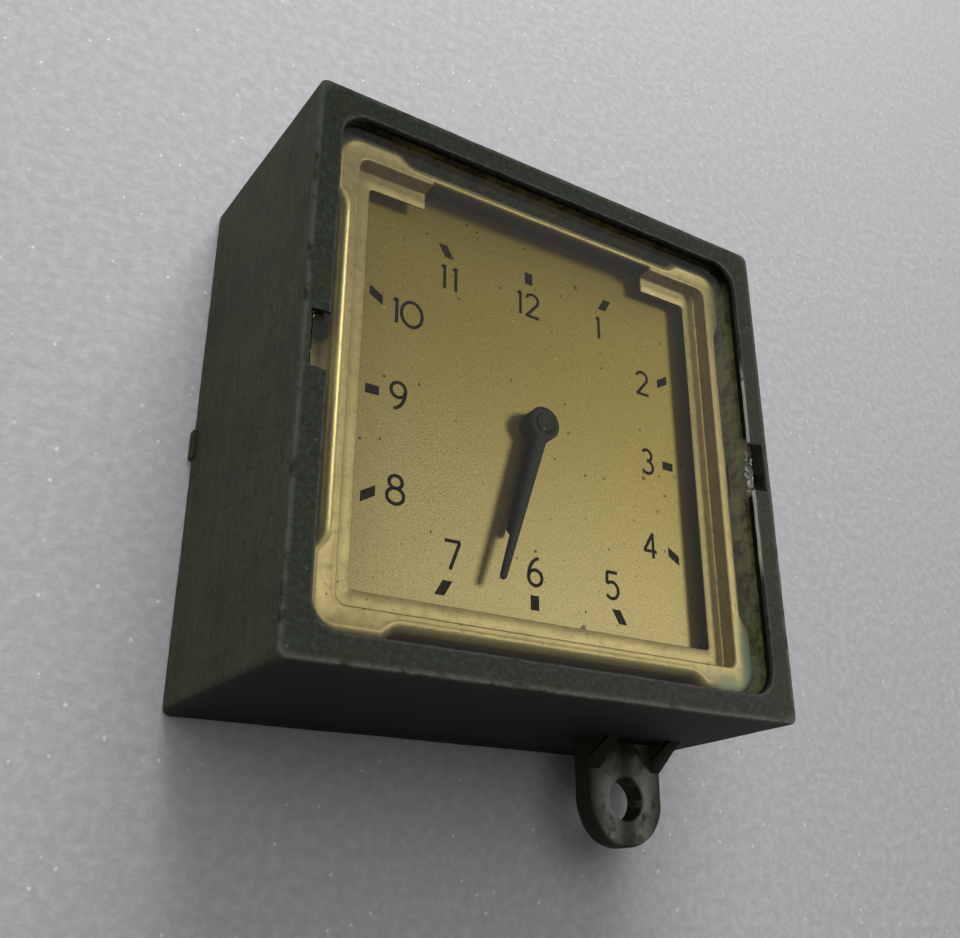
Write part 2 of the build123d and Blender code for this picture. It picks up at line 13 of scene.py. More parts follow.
import bpy
import numpy as np
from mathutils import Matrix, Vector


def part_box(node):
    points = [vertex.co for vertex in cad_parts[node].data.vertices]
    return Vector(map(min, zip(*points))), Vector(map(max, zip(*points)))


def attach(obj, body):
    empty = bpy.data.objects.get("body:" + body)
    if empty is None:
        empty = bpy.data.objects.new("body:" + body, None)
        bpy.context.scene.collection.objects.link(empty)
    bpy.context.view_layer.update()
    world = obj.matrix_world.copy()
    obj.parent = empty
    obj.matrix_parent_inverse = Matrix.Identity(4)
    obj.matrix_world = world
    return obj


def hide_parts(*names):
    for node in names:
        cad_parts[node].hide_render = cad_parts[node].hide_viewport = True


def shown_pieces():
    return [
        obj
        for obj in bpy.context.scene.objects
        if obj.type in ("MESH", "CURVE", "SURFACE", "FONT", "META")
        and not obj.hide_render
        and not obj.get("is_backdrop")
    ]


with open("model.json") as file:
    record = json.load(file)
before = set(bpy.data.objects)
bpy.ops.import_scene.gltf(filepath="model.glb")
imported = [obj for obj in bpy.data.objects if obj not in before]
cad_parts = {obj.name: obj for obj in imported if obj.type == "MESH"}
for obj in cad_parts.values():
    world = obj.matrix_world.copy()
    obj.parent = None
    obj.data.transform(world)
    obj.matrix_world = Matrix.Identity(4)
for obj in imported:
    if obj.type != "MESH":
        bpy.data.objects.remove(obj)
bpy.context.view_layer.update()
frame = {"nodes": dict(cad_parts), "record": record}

# %% [markdown]
# ## Sizes
# Every piece takes its place from the CAD nodes, so that the two models can't drift apart.
# Lengths are millimetres while shapes are worked out, and become metres in the mesh.

# %% Sizes from the frame
MM = 0.001


def corners_of(node):
    """A node's lowest and highest corner, in millimetres."""
    low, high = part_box(node)
    return np.array(low) / MM, np.array(high) / MM


case_high = corners_of("case")[1]
glass_low, glass_high = corners_of("glass")
mask_high = corners_of("dial_mask")[1]
dial_low, dial_high = corners_of("dial")
cover_high = corners_of("back_cover")[1]
hour_low, hour_high = corners_of("hour_hand")
minute_low, minute_high = corners_of("minute_hand")
nub_proud = 0.5
case_depth = case_high[2]
back_half = case_high[0] - nub_proud
glass_half, glass_back, glass_front = glass_high[0], glass_low[2], glass_high[2]
mask_half, mask_top, dial_front = mask_high[1], mask_high[2], dial_high[2]
print("case", back_half, case_depth, "glass", glass_half, glass_front, "mask", mask_half, mask_top)

# %% [markdown]
# ## Camera, floor and light
# The camera stands low on the left and looks across the dial. One soft lamp on the right
# throws the shadow of the rim on to the dial. The floor has two lamps of its own, behind the
# clock and above it, so that the clock's shadow falls forwards. Three weak lamps lift the
# mask, the dial and the case by themselves, and light linking keeps them all apart.

# %% Camera
camera = bpy.data.objects.new("camera", bpy.data.cameras.new("camera"))
bpy.context.scene.collection.objects.link(camera)
camera.location = (-68.43 * MM, -54.92 * MM, 121.75 * MM)
camera.rotation_euler = [radians(turn) for turn in (22.715, -32.300, 0.2515)]
camera.data.lens = 40.05
camera.data.sensor_width = 36.0
camera.data.clip_start = 0.001
bpy.context.scene.camera = camera

# %% Lamps


def lamp(name, place, aim, size, power, tint):
    """A round, soft lamp at a place, turned to its aim. Lengths are metres."""
    light = bpy.data.lights.new(name, "AREA")
    light.shape = "DISK"
    light.size = size
    light.energy = power
    light.color = tint
    holder = bpy.data.objects.new(name, light)
    bpy.context.scene.collection.objects.link(holder)
    holder.location = place
    away = np.array(place) - np.array(aim)
    holder.rotation_euler = Vector(away).to_track_quat("Z", "Y").to_euler()
    return holder


def lights_only(holder, name, *objects):
    """Light linking: the lamp shines only on these objects, though all still throw shadows."""
    lit = bpy.data.collections.new(name)
    for thing in objects:
        lit.objects.link(thing)
    holder.light_linking.receiver_collection = lit


key_lamp = lamp("key_lamp", (0.31, 0.07, 0.41), (0, 0, 0), 0.14, 1.35, (1.0, 0.96, 0.90))
floor_lamp = lamp("floor_lamp", (0.0, 0.46, 0.36), (0, -0.02, 0), 0.42, 2.6, (0.99, 0.98, 1.0))
floor_fill = lamp("floor_fill", (-0.14, 0.12, 0.64), (0, 0, 0), 0.60, 1.4, (0.99, 0.98, 1.0))
mask_lamp = lamp("mask_lamp", (-0.12, 0.22, 0.42), (0, 0, 0.03), 0.12, 0.45, (1.0, 0.97, 0.92))
dial_lamp = lamp("dial_lamp", (-0.05, -0.25, 0.40), (0, 0, 0.02), 0.30, 0.18, (1.0, 0.90, 0.60))
case_lamp = lamp("case_lamp", (-0.26, -0.02, 0.38), (0, 0, 0.02), 0.20, 0.48, (1.0, 0.98, 0.90))

# %% Surround


def make_surround():
    """A world that is pale behind the clock and dark on the viewer's side: its brightness
    follows the Y of the direction."""
    world = bpy.data.worlds.new("surround")
    bpy.context.scene.world = world
    world.use_nodes = True
    tree = world.node_tree
    direction = tree.nodes.new("ShaderNodeTexCoord")
    split = tree.nodes.new("ShaderNodeSeparateXYZ")
    ramp = tree.nodes.new("ShaderNodeMapRange")
    tree.links.new(direction.outputs["Generated"], split.inputs[0])
    tree.links.new(split.outputs["Y"], ramp.inputs["Value"])
    for socket, value in (("From Min", -0.7), ("From Max", 0.7), ("To Min", 0.02), ("To Max", 0.30)):
        ramp.inputs[socket].default_value = value
    background = tree.nodes["Background"]
    background.inputs["Color"].default_value = (1.0, 0.98, 0.90, 1)
    tree.links.new(ramp.outputs[0], background.inputs["Strength"])


make_surround()
bpy.context.scene.view_settings.view_transform = "Standard"
print("lamps and surround ready")

# %% [markdown]
# ## Mesh helpers
# A surface here is a grid: rows are the steps of a profile and columns the steps round a path.
# Whole arrays are worked out at once, and one helper turns the grid into quads.

# %% Grids, shells and pieces


def grid_faces(rows, columns, rows_close=False, columns_close=True):
    """Quads of a grid numbered row by row. They face outwards where columns run
    anticlockwise and rows climb."""
    row, column = np.meshgrid(
        np.arange(rows if rows_close else rows - 1),
        np.arange(columns if columns_close else columns - 1), indexing="ij",
    )
    next_row, next_column = (row + 1) % rows, (column + 1) % columns
    quads = [row * columns + column, row * columns + next_column,
             next_row * columns + next_column, next_row * columns + column]
    return np.stack(quads, -1).reshape(-1, 4)


def ring_shell(rings, rows_close=False):
    """A closed shell from rings (rows, columns, 3): flat caps shut its ends, or the last
    ring joins the first."""
    rows, columns = rings.shape[:2]
    faces = grid_faces(rows, columns, rows_close).tolist()
    if not rows_close:
        faces.append(list(range(columns))[::-1])
        faces.append([(rows - 1) * columns + step for step in range(columns)])
    return rings.reshape(-1, 3), faces


def build(name, shells, body, finish, replaced=(), smooth=40):
    """One object from shells of points in millimetres, riding on a body."""
    points, faces, start = [], [], 0
    for shell_points, shell_faces in shells:
        points.append(shell_points)
        faces += [[start + corner for corner in face] for face in shell_faces]
        start += len(shell_points)
    mesh = bpy.data.meshes.new(name)
    mesh.from_pydata((np.concatenate(points) * MM).tolist(), [], faces)
    mesh.polygons.foreach_set("use_smooth", np.ones(len(mesh.polygons), bool))
    mesh.set_sharp_from_angle(angle=radians(smooth))
    piece = bpy.data.objects.new(name, mesh)
    bpy.context.scene.collection.objects.link(piece)
    mesh.materials.append(finish)
    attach(piece, body)
    if replaced:
        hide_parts(*replaced)
    print(name, len(mesh.vertices), "points", len(mesh.polygons), "faces")
    return piece


def carry(piece, name, values):
    """Stores one number at every point of a piece, for its material to read."""
    layer = piece.data.attributes.new(name, "FLOAT", "POINT")
    layer.data.foreach_set("value", np.asarray(values, np.float32))


def lifted(flat, heights):
    """Flat rings (rows, columns, 2) with a height given to every point."""
    tall = np.broadcast_to(heights, flat.shape[:2])[..., None]
    return np.concatenate([flat, tall], -1)


def rings_at(levels):
    """Rings from pairs of a flat outline and the one height that all its points have."""
    flats, heights = zip(*levels)
    return lifted(np.stack(flats), np.array(heights)[:, None])


def bend(steps):
    """A rolled edge of radius 1 as pairs (1 - sin a, 1 - cos a) over a quarter turn a."""
    turn = np.linspace(0, pi / 2, steps)
    return np.stack([1 - np.sin(turn), 1 - np.cos(turn)], 1)


def arc(middle, radius, turn):
    """Points of a circle about (middle, middle), at the given angles."""
    return middle + radius * np.stack([np.cos(turn), np.sin(turn)], 1)


def all_four(side):
    """A closed ring from one side of a square, turned three times by a quarter."""
    quarter = np.array([[0, 1], [-1, 0]])
    return np.concatenate([side @ np.linalg.matrix_power(quarter, turn) for turn in range(4)])


def inward(outline):
    """Unit normals into an anticlockwise outline: each turns the chord between a point's
    neighbours a quarter to the left."""
    chord = np.roll(outline, -1, 0) - np.roll(outline, 1, 0)
    normal = np.stack([-chord[:, 1], chord[:, 0]], 1)
    return normal / np.linalg.norm(normal, axis=1, keepdims=True)


def plate(outline, low, high, edge, steps=3):
    """A flat plate whose edges are quarter circles: ring by ring the outline moves in by
    edge (1 - sin a) while the height moves by edge (1 - cos a)."""
    inset, rise = edge * bend(steps + 1).T
    insets = np.r_[inset, inset[::-1]]
    heights = np.r_[low + rise, high - rise[::-1]]
    flat = outline[None] + insets[:, None, None] * inward(outline)[None]
    return ring_shell(lifted(flat, heights[:, None]))


def lathe(profile, place=(0, 0), columns=64, closed=False):
    """Turns a profile of (radius, height) about an upright axis: x = r cos a, y = r sin a."""
    profile = np.array(profile, float)
    turn = np.linspace(0, 2 * pi, columns, endpoint=False)
    flat = profile[:, :1, None] * np.stack([np.cos(turn), np.sin(turn)], 1) + np.array(place)
    return ring_shell(lifted(flat, profile[:, 1:]), closed)


def smooth_step(value):
    """0 below 0, 1 above 1, and 3 v^2 - 2 v^3 between."""
    value = np.clip(value, 0, 1)
    return value * value * (3 - 2 * value)


def ripple(points, wave, seed):
    """A smooth unevenness between -1 and 1: five sine waves in seeded directions, whose
    lengths are near the given wave in millimetres."""
    waves = 5
    dice = np.random.default_rng(seed)
    total = np.zeros(points.shape[:-1])
    for _ in range(waves):
        direction = dice.normal(size=points.shape[-1])
        direction *= 2 * pi / (wave * dice.uniform(0.6, 1.6) * np.linalg.norm(direction))
        total += np.sin(points @ direction + dice.uniform(0, 2 * pi))
    return total / waves


# %% [markdown]
# ## Node helpers
# Real metal is never one colour. Three small node groups make the masks that every finish
# shares: soft patches, small specks and drawn-out scratches. Each puts out only a mask, and
# the shader stays in the material.

# %% Shader node helpers


def add(tree, kind, inputs=None, **settings):
    """Adds one shader node. Inputs are plain values, or the sockets that feed them."""
    made = tree.nodes.new("ShaderNode" + kind)
    for name, value in settings.items():
        setattr(made, name, value)
    for name, value in (inputs or {}).items():
        if isinstance(value, bpy.types.NodeSocket):
            tree.links.new(value, made.inputs[name])
        else:
            made.inputs[name].default_value = value
    return made


def new_group(name, sockets):
    """An empty node group with named number inputs and one output, the mask. It gives the
    group, its inputs and the place in the object that is being shaded."""
    group = bpy.data.node_groups.new(name, "ShaderNodeTree")
    for label, value in sockets.items():
        socket = group.interface.new_socket(label, in_out="INPUT", socket_type="NodeSocketFloat")
        socket.default_value = value
    group.interface.new_socket("Mask", in_out="OUTPUT", socket_type="NodeSocketFloat")
    given = group.nodes.new("NodeGroupInput").outputs
    return group, given, add(group, "TexCoord").outputs["Object"]


def give_out(group, mask):
    """Joins a finished mask to the group's output."""
    group.links.new(mask, group.nodes.new("NodeGroupOutput").inputs["Mask"])
    return group


def spread(group, given, value):
    """Spreads a noise from the group's Low to its High over 0 to 1."""
    limits = {"Value": value, "From Min": given["Low"], "From Max": given["High"]}
    return add(group, "MapRange", limits).outputs[0]


def make_patches():
    """Soft patches: a detailed noise, spread from Low to High over 0 to 1."""
    group, given, place = new_group("soft_patches", {"Scale": 200, "Low": 0.4, "High": 0.6, "Shift": 0})
    moved = add(group, "VectorMath", {0: place, 1: given["Shift"]}, operation="ADD").outputs[0]
    noise = add(group, "TexNoise", {"Vector": moved, "Scale": given["Scale"], "Detail": 6.0,
                                    "Roughness": 0.65})
    return give_out(group, spread(group, given, noise.outputs[0]))


def make_specks():
    """Specks: round dots of a Voronoi pattern, kept only in a share of the cells. A little
    noise bends their outlines."""
    group, given, place = new_group("small_specks", {"Scale": 900, "Size": 0.25, "Share": 0.2, "Shift": 0})
    moved = add(group, "VectorMath", {0: place, 1: given["Shift"]}, operation="ADD").outputs[0]
    bent = add(group, "TexNoise", {"Vector": moved, "Scale": given["Scale"], "Detail": 2.0})
    reach = (0.6 * MM, 0.6 * MM, 0.6 * MM)
    shaken = add(group, "VectorMath", {0: bent.outputs[1], 1: reach, 2: moved}, operation="MULTIPLY_ADD")
    cells = add(group, "TexVoronoi", {"Vector": shaken.outputs[0], "Scale": given["Scale"]})
    near = add(group, "MapRange", {"Value": cells.outputs["Distance"], "From Min": given["Size"],
                                   "From Max": 0.05})
    chance = add(group, "SeparateColor", {"Color": cells.outputs["Color"]}).outputs[0]
    kept = add(group, "Math", {0: chance, 1: given["Share"]}, operation="LESS_THAN")
    mask = add(group, "Math", {0: near.outputs[0], 1: kept.outputs[0]}, operation="MULTIPLY")
    return give_out(group, mask.outputs[0])


def make_streaks():
    """Streaks: noise on coordinates that are squeezed by its own amount along each axis."""
    group, given, place = new_group(
        "drawn_streaks", {"Along X": 1, "Along Y": 1, "Along Z": 1, "Low": 0.4, "High": 0.65})
    scales = add(group, "CombineXYZ", {0: given["Along X"], 1: given["Along Y"], 2: given["Along Z"]})
    drawn = add(group, "VectorMath", {0: place, 1: scales.outputs[0]}, operation="MULTIPLY")
    noise = add(group, "TexNoise", {"Vector": drawn.outputs[0], "Scale": 1.0, "Detail": 4.0})
    return give_out(group, spread(group, given, noise.outputs[0]))


patches, specks, streaks = make_patches(), make_specks(), make_streaks()


def linear(colour):
    """A screen colour of 0 to 255 as the linear colour that a shader takes."""
    share = np.array(colour) / 255
    curve = np.where(share <= 0.04045, share / 12.92, ((share + 0.055) / 1.055) ** 2.4)
    return (*[float(value) for value in curve], 1.0)


class Finish:
    """One material under construction: a colour that gathers layers, a roughness and a bump.
    Colours are screen colours, and a mask's values are named as the group's sockets are."""

    def __init__(self, name, colour, metallic=0.0, roughness=0.5, specular=0.5):
        self.material = bpy.data.materials.new(name)
        self.material.use_nodes = True
        self.tree = self.material.node_tree
        self.shader = self.tree.nodes["Principled BSDF"]
        self.shader.inputs["Metallic"].default_value = metallic
        self.shader.inputs["Roughness"].default_value = roughness
        self.shader.inputs["Specular IOR Level"].default_value = specular
        self.colour = linear(colour)
        self.shader.inputs["Base Color"].default_value = self.colour
        self.roughness = roughness
        self.normal = None

    def mask(self, group, **values):
        """A mask from one of the shared groups, with its own values."""
        made = self.tree.nodes.new("ShaderNodeGroup")
        made.node_tree = group
        for label, value in values.items():
            made.inputs[label.replace("_", " ")].default_value = value
        return made.outputs["Mask"]

    def attribute(self, name):
        """A number that the mesh itself carries at every point."""
        return add(self.tree, "Attribute", attribute_name=name).outputs["Fac"]

    def times(self, mask, share):
        """A mask made weaker, or cut by another mask."""
        return add(self.tree, "Math", {0: mask, 1: share}, operation="MULTIPLY").outputs[0]

    def layer(self, mask, colour):
        """Lays another colour over what is there, where the mask is 1."""
        mixed = add(self.tree, "Mix", {0: mask, 6: self.colour, 7: linear(colour)}, data_type="RGBA")
        self.colour = mixed.outputs[2]
        self.tree.links.new(self.colour, self.shader.inputs["Base Color"])

    def coat(self, group, colour, share=1.0, **values):
        """Lays a colour through a shared group's mask, made weaker by a share. It gives the
        full mask, for a roughness or a bump that goes with the colour."""
        mask = self.mask(group, **values)
        self.layer(mask if share == 1 else self.times(mask, share), colour)
        return mask

    def rough(self, mask, value):
        """Moves the roughness to a value where the mask is 1."""
        mixed = add(self.tree, "Mix", {0: mask, 2: self.roughness, 3: value}, data_type="FLOAT")
        self.roughness = mixed.outputs[0]
        self.tree.links.new(self.roughness, self.shader.inputs["Roughness"])

    def metal_share(self, mask, value):
        """Moves the metallic share to a value where the mask is 1."""
        now = self.shader.inputs["Metallic"].default_value
        mixed = add(self.tree, "Mix", {0: mask, 2: now, 3: value}, data_type="FLOAT")
        self.tree.links.new(mixed.outputs[0], self.shader.inputs["Metallic"])

    def bump(self, height, depth, strength=1.0):
        """Adds relief: the height mask times a depth in millimetres."""
        inputs = {"Height": height, "Distance": depth * MM, "Strength": strength}
        if self.normal is not None:
            inputs["Normal"] = self.normal
        self.normal = add(self.tree, "Bump", inputs).outputs[0]
        self.tree.links.new(self.normal, self.shader.inputs["Normal"])

    def grain(self, scale, depth, strength=1.0):
        """A fine, even relief of soft patches."""
        self.bump(self.mask(patches, Scale=scale, Low=0.3, High=0.7), depth, strength)


print("node groups", patches.name, specks.name, streaks.name)

# %% [markdown]
# ## The floor
# A pale, matt sheet with a faint grain. It is staging, not part of the clock.

# %% Floor


def make_floor():
    """A square of four points, 1.6 m across, just under the clock."""
    reach, level = 0.8, -0.03 * MM
    signs = ((-1, -1), (1, -1), (1, 1), (-1, 1))
    mesh = bpy.data.meshes.new("floor")
    mesh.from_pydata([(x * reach, y * reach, level) for x, y in signs], [], [(0, 1, 2, 3)])
    floor = bpy.data.objects.new("floor", mesh)
    bpy.context.scene.collection.objects.link(floor)
    paper = Finish("pale_floor", (186, 184, 187), roughness=0.75)
    paper.coat(patches, (200, 198, 202), Scale=700, Low=0.42, High=0.66)
    paper.coat(specks, (232, 231, 236), Scale=420, Size=0.12, Share=0.6)
    paper.grain(420, 0.25, 0.28)
    mesh.materials.append(paper.material)
    floor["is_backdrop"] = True
    return floor


floor = make_floor()
lights_only(floor_lamp, "floor_alone", floor)
lights_only(floor_fill, "floor_filled", floor)

# %% [markdown]
# ## The case
# The case is one zinc casting. Its wall is a profile carried round a rounded square, and the
# two finger notches in the rim are part of the same surface: where the path passes a notch,
# the rim's rings move out. The sweep gives clean, softened edges that a boolean would not.

# %% Case finish


def zinc_finish():
    """Dark weathered zinc: slate where it was rubbed, olive where it wasn't, brown stains, fine
    pits and paler metal on the worn edges. A near-white strip on the window's right-hand edge
    is partly bare metal and partly a painted highlight, a pale tint in the cavity is partly
    dust and partly painted light, and painted shade darkens the bottom face, the lugs and
    the notches."""
    zinc = Finish("weathered_zinc", (62, 70, 42), metallic=0.1, roughness=0.7, specular=0.3)
    zinc.coat(patches, (50, 57, 33), Scale=90, Low=0.45, High=0.62)
    zinc.coat(streaks, (98, 101, 80), 0.4, Along_X=2500, Along_Y=110, Along_Z=2500, Low=0.5, High=0.75)
    zinc.layer(zinc.attribute("rubbed"), (35, 43, 32))
    zinc.coat(patches, (64, 75, 62), 0.7, Scale=1500, Low=0.48, High=0.7)
    zinc.coat(patches, (22, 25, 17), 0.85, Scale=1300, Low=0.52, High=0.7, Shift=3)
    zinc.coat(patches, (58, 48, 31), 0.55, Scale=190, Low=0.56, High=0.66, Shift=7)
    pits = zinc.coat(specks, (20, 22, 17), 0.8, Scale=900, Size=0.17, Share=0.3)
    zinc.coat(specks, (116, 122, 114), 0.7, Scale=650, Size=0.12, Share=0.14, Shift=5)
    # A pale tint on the upper cavity wall: partly dust, partly painted light where little lamp light
    # reaches.
    inside = zinc.attribute("inside")
    zinc.layer(inside, (186, 182, 140))
    mottled = zinc.mask(patches, Scale=420, Low=0.42, High=0.6, Shift=9)
    zinc.layer(zinc.times(inside, mottled), (112, 104, 74))
    # Painted shade: the bottom face, the lugs and the notch walls are darkened in the colour.
    zinc.layer(zinc.attribute("painted_shade"), (20, 23, 12))
    broken = zinc.mask(patches, Scale=500, Low=0.36, High=0.5, Shift=11)
    worn = zinc.times(zinc.attribute("wear"), broken)
    zinc.layer(worn, (112, 120, 114))
    zinc.rough(worn, 0.42)
    # A near-white strip on the window's right-hand inner edge: partly bare metal, partly a painted
    # highlight.
    scraped = zinc.mask(patches, Scale=330, Low=0.34, High=0.42, Shift=2)
    zinc.layer(zinc.times(zinc.attribute("bare_and_highlight"), scraped), (228, 230, 222))
    zinc.grain(1400, 0.035, 0.7)
    zinc.bump(pits, -0.05, 0.6)
    return zinc.material


zinc = zinc_finish()
print("case finish", zinc.name)

# %% Path round the case
case_front_half, case_corner_r = 33.35, 1.0
cavity_half, cavity_front_half, cavity_corner_r = 32.6, 32.0, 1.8
window_half, window_corner_r, rim_under = 30.25, 3.4, case_depth - 0.55
notch_low, notch_high, notch_half = -3.5, 3.3, 32.45
notch_floor = glass_back - 0.4
notch_ends = [end + side for end in (notch_low, notch_high, -notch_low, -notch_high)
              for side in (-0.03, 0.03)]
side_steps = np.unique(np.r_[np.linspace(-25.5, 25.5, 90), notch_ends])
corner_turn = np.linspace(0, pi / 2, 9)


def square_path(half, radius):
    """One ring of a rounded square, anticlockwise from the right-hand side. Each side has
    the same fixed steps, and each corner is a quarter circle about (half - r, half - r)."""
    side = np.stack([np.full_like(side_steps, half), side_steps], 1)
    return all_four(np.concatenate([side, arc(half - radius, radius, corner_turn)]))


print("steps round the case", len(square_path(10, 1)))

# %% Case wall


def case_profile():
    """The wall's section as rows of (half width, corner radius, height, share of wear)."""
    front_edge, window_edge, rows = 0.18, 0.14, []
    for height in (0.25, 3, 8, 13, 18, 23, 28, case_depth - front_edge - 0.4):
        half = back_half + (case_front_half - back_half) * height / case_depth
        rows.append((half, case_corner_r, height, 0.10 if height < 1 else 0.0))
    for down, across in front_edge * bend(5):
        rows.append((case_front_half - across, case_corner_r, case_depth - down, 0.35))
    for half in (32.6, 31.8, 31.0, 30.6):
        rows.append((half, window_corner_r - 0.65 * (half - window_half), case_depth, 0.0))
    for across, down in window_edge * bend(4):
        rows.append((window_half + across, window_corner_r, case_depth - down, 0.2))
    rows.append((window_half, window_corner_r, rim_under + 0.12, 0.2))
    rows.append((window_half, window_corner_r, rim_under, 0.1))
    rows.append((cavity_front_half, cavity_corner_r, rim_under, 0.0))
    for height in (notch_floor + 0.02, notch_floor - 0.02, 24, 16, 8, 0.3):
        half = cavity_half + (cavity_front_half - cavity_half) * height / rim_under
        rows.append((half, cavity_corner_r, height, 0.0))
    rows.append((cavity_half + 0.2, cavity_corner_r, 0.0, 0.1))
    rows.append((back_half - 0.25, case_corner_r, 0.0, 0.1))
    return rows


def case_wall():
    """Rings of the section round the path. In a notch the rim's rings move out to the notch's
    depth. Ragged edges and a slight unevenness of the casting move points out or in. Gives
    the shell and its shares of wear, of a pale strip on the window's right-hand edge (bare
    metal and a painted highlight), of a pale cavity tint (dust and painted light) and of the
    notch, which gets painted shade, at every point."""
    rows = case_profile()
    levels = [(square_path(half, radius), height) for half, radius, height, _ in rows]
    points = rings_at(levels)
    x, y, z = points[..., 0], points[..., 1], points[..., 2].copy()
    ragged = 0.10 * ripple(points, 1.1, 5) + 0.05 * ripple(points, 0.4, 6)
    on_side = (np.abs(x) > np.abs(y) + 4) & (y > notch_low + ragged) & (y < notch_high + ragged)
    is_rim = (z > notch_floor) & (np.abs(x) < notch_half) & on_side
    row_share = np.arange(len(rows))[:, None] / len(rows)
    wear = np.array([row[3] for row in rows])[:, None] * np.ones(points.shape[:2])
    wear[is_rim] = 0.2
    x[is_rim] = (np.sign(x) * (notch_half + 0.05 * row_share + ragged))[is_rim]
    reach = np.maximum(np.abs(x), np.abs(y))
    near_front = np.abs(z - case_depth + 0.2) < 0.5
    inner_edge = near_front & (reach < window_half + 0.35)
    # A pale strip along the right-hand inner edge of the window stands for bare metal and for a painted
    # highlight.
    right_side = smooth_step((x - 29.5) / 0.5) * smooth_step((16 - np.abs(y)) / 4)
    bare_and_highlight = inner_edge * (z < case_depth - 0.05) * right_side
    out = np.stack([x, y], -1) / reach[..., None]
    rough_edge = np.where(inner_edge & ~is_rim, 0.07, 0.03)
    uneven = rough_edge * ripple(points, 2.2, 1) + 0.04 * ripple(points, 18, 2)
    points[..., :2] = np.stack([x, y], -1) + out * uneven[..., None]
    points[..., 2] += np.where(z < 0.4, 0.10 + 0.10 * ripple(points, 1.7, 3), 0)
    points[..., 2] -= np.where(z > case_depth - 0.5, 0.03 + 0.03 * ripple(points, 7, 4), 0)
    rim_under_row = rows.index((cavity_front_half, cavity_corner_r, rim_under, 0.0))
    past_rim = (np.arange(len(rows)) > rim_under_row)[:, None]
    # The pale cavity tint, partly dust and partly painted light, fades out towards the back.
    pale_from, pale_run = 9, 6
    inside = past_rim * smooth_step((points[..., 2] - pale_from) / pale_run)
    # The notch walls get painted shade in the case's colour.
    notch = is_rim & (points[..., 2] < case_depth - 0.1)
    return ring_shell(points, rows_close=True), [share.ravel() for share in (wear, bare_and_highlight, inside, notch)]


# %% Lugs, ribs, blocks and bosses
lug_x, lug_y, lug_half, lug_hole_r = 23.2, -40.8, 5.8, 2.6
lug_back, lug_front, lug_root = 8.45, 11.8, 7.8
rib_thickness, rib_tip_y, rib_root_y, rib_top = 1.7, -37.35, -33.0, 17.1


def lug_shell():
    """A flat eye: rings run up the hole, out over the front, down the rim and back. The outer
    edge is a half circle below and a rectangle above, so its reach at an angle is the smallest
    of half / |cos|, root / sin and, below, half."""
    corner = np.arctan2(lug_root, lug_half)
    turn = np.unique(np.r_[np.linspace(0, 2 * pi, 72, endpoint=False), corner, pi - corner])
    across, along = np.cos(turn), np.sin(turn)
    reach = np.full_like(turn, lug_half)
    upper = along > 0
    beside_hole = lug_half / np.maximum(np.abs(across), 1e-6)
    reach[upper] = np.minimum(beside_hole, lug_root / np.maximum(along, 1e-6))[upper]
    hole, rim_edge, hole_edge = np.full_like(turn, lug_hole_r), 0.4, 0.3
    rings = [(hole + out, lug_front - down) for down, out in hole_edge * bend(4)]
    rings += [(reach - inset, lug_front - down) for inset, down in rim_edge * bend(4)]
    rings += [(reach - inset, lug_back + up) for up, inset in rim_edge * bend(4)]
    rings += [(hole + out, lug_back + up) for out, up in hole_edge * bend(4)]
    eye = [(np.stack([lug_x + radius * across, lug_y + radius * along], 1), height)
           for radius, height in rings[::-1]]
    points = rings_at(eye)
    points += 0.05 * ripple(points, 3.5, 8)[..., None]
    return ring_shell(points, rows_close=True)


def rounded(corners, radius, steps=4):
    """A closed outline through corners, each cut by a quadratic curve that starts and ends a
    radius from the corner."""
    corners = np.array(corners, float)
    share = np.linspace(0, 1, steps + 1)[:, None]
    outline = []
    for before, corner, after in zip(np.roll(corners, 1, 0), corners, np.roll(corners, -1, 0)):
        start = corner + radius * (before - corner) / np.linalg.norm(before - corner)
        end = corner + radius * (after - corner) / np.linalg.norm(after - corner)
        outline.append((1 - share) ** 2 * start + 2 * share * (1 - share) * corner + share ** 2 * end)
    return np.concatenate(outline)


def half_turned(shell):
    """A shell turned half round the Z axis."""
    points, faces = shell
    return points * np.array([-1, -1, 1]), faces


def rib_shell(side_x):
    """An upright web from the case down to the lug: its outline lies in Y and Z, so a plate
    has its axes taken in the next cyclic order."""
    outline = rounded([(rib_tip_y, lug_back + 1), (rib_root_y, lug_back + 1), (rib_root_y, rib_top),
                       (rib_tip_y, lug_front)], 0.5)
    points, faces = plate(outline, side_x, side_x + rib_thickness, 0.35)
    return points[:, [2, 0, 1]], faces


def box_outline(x, y, wide, tall, radius):
    """A rectangle with rounded corners about a point."""
    signs = ((-1, -1), (1, -1), (1, 1), (-1, 1))
    return rounded([(x + side * wide / 2, y + end * tall / 2) for side, end in signs], radius)


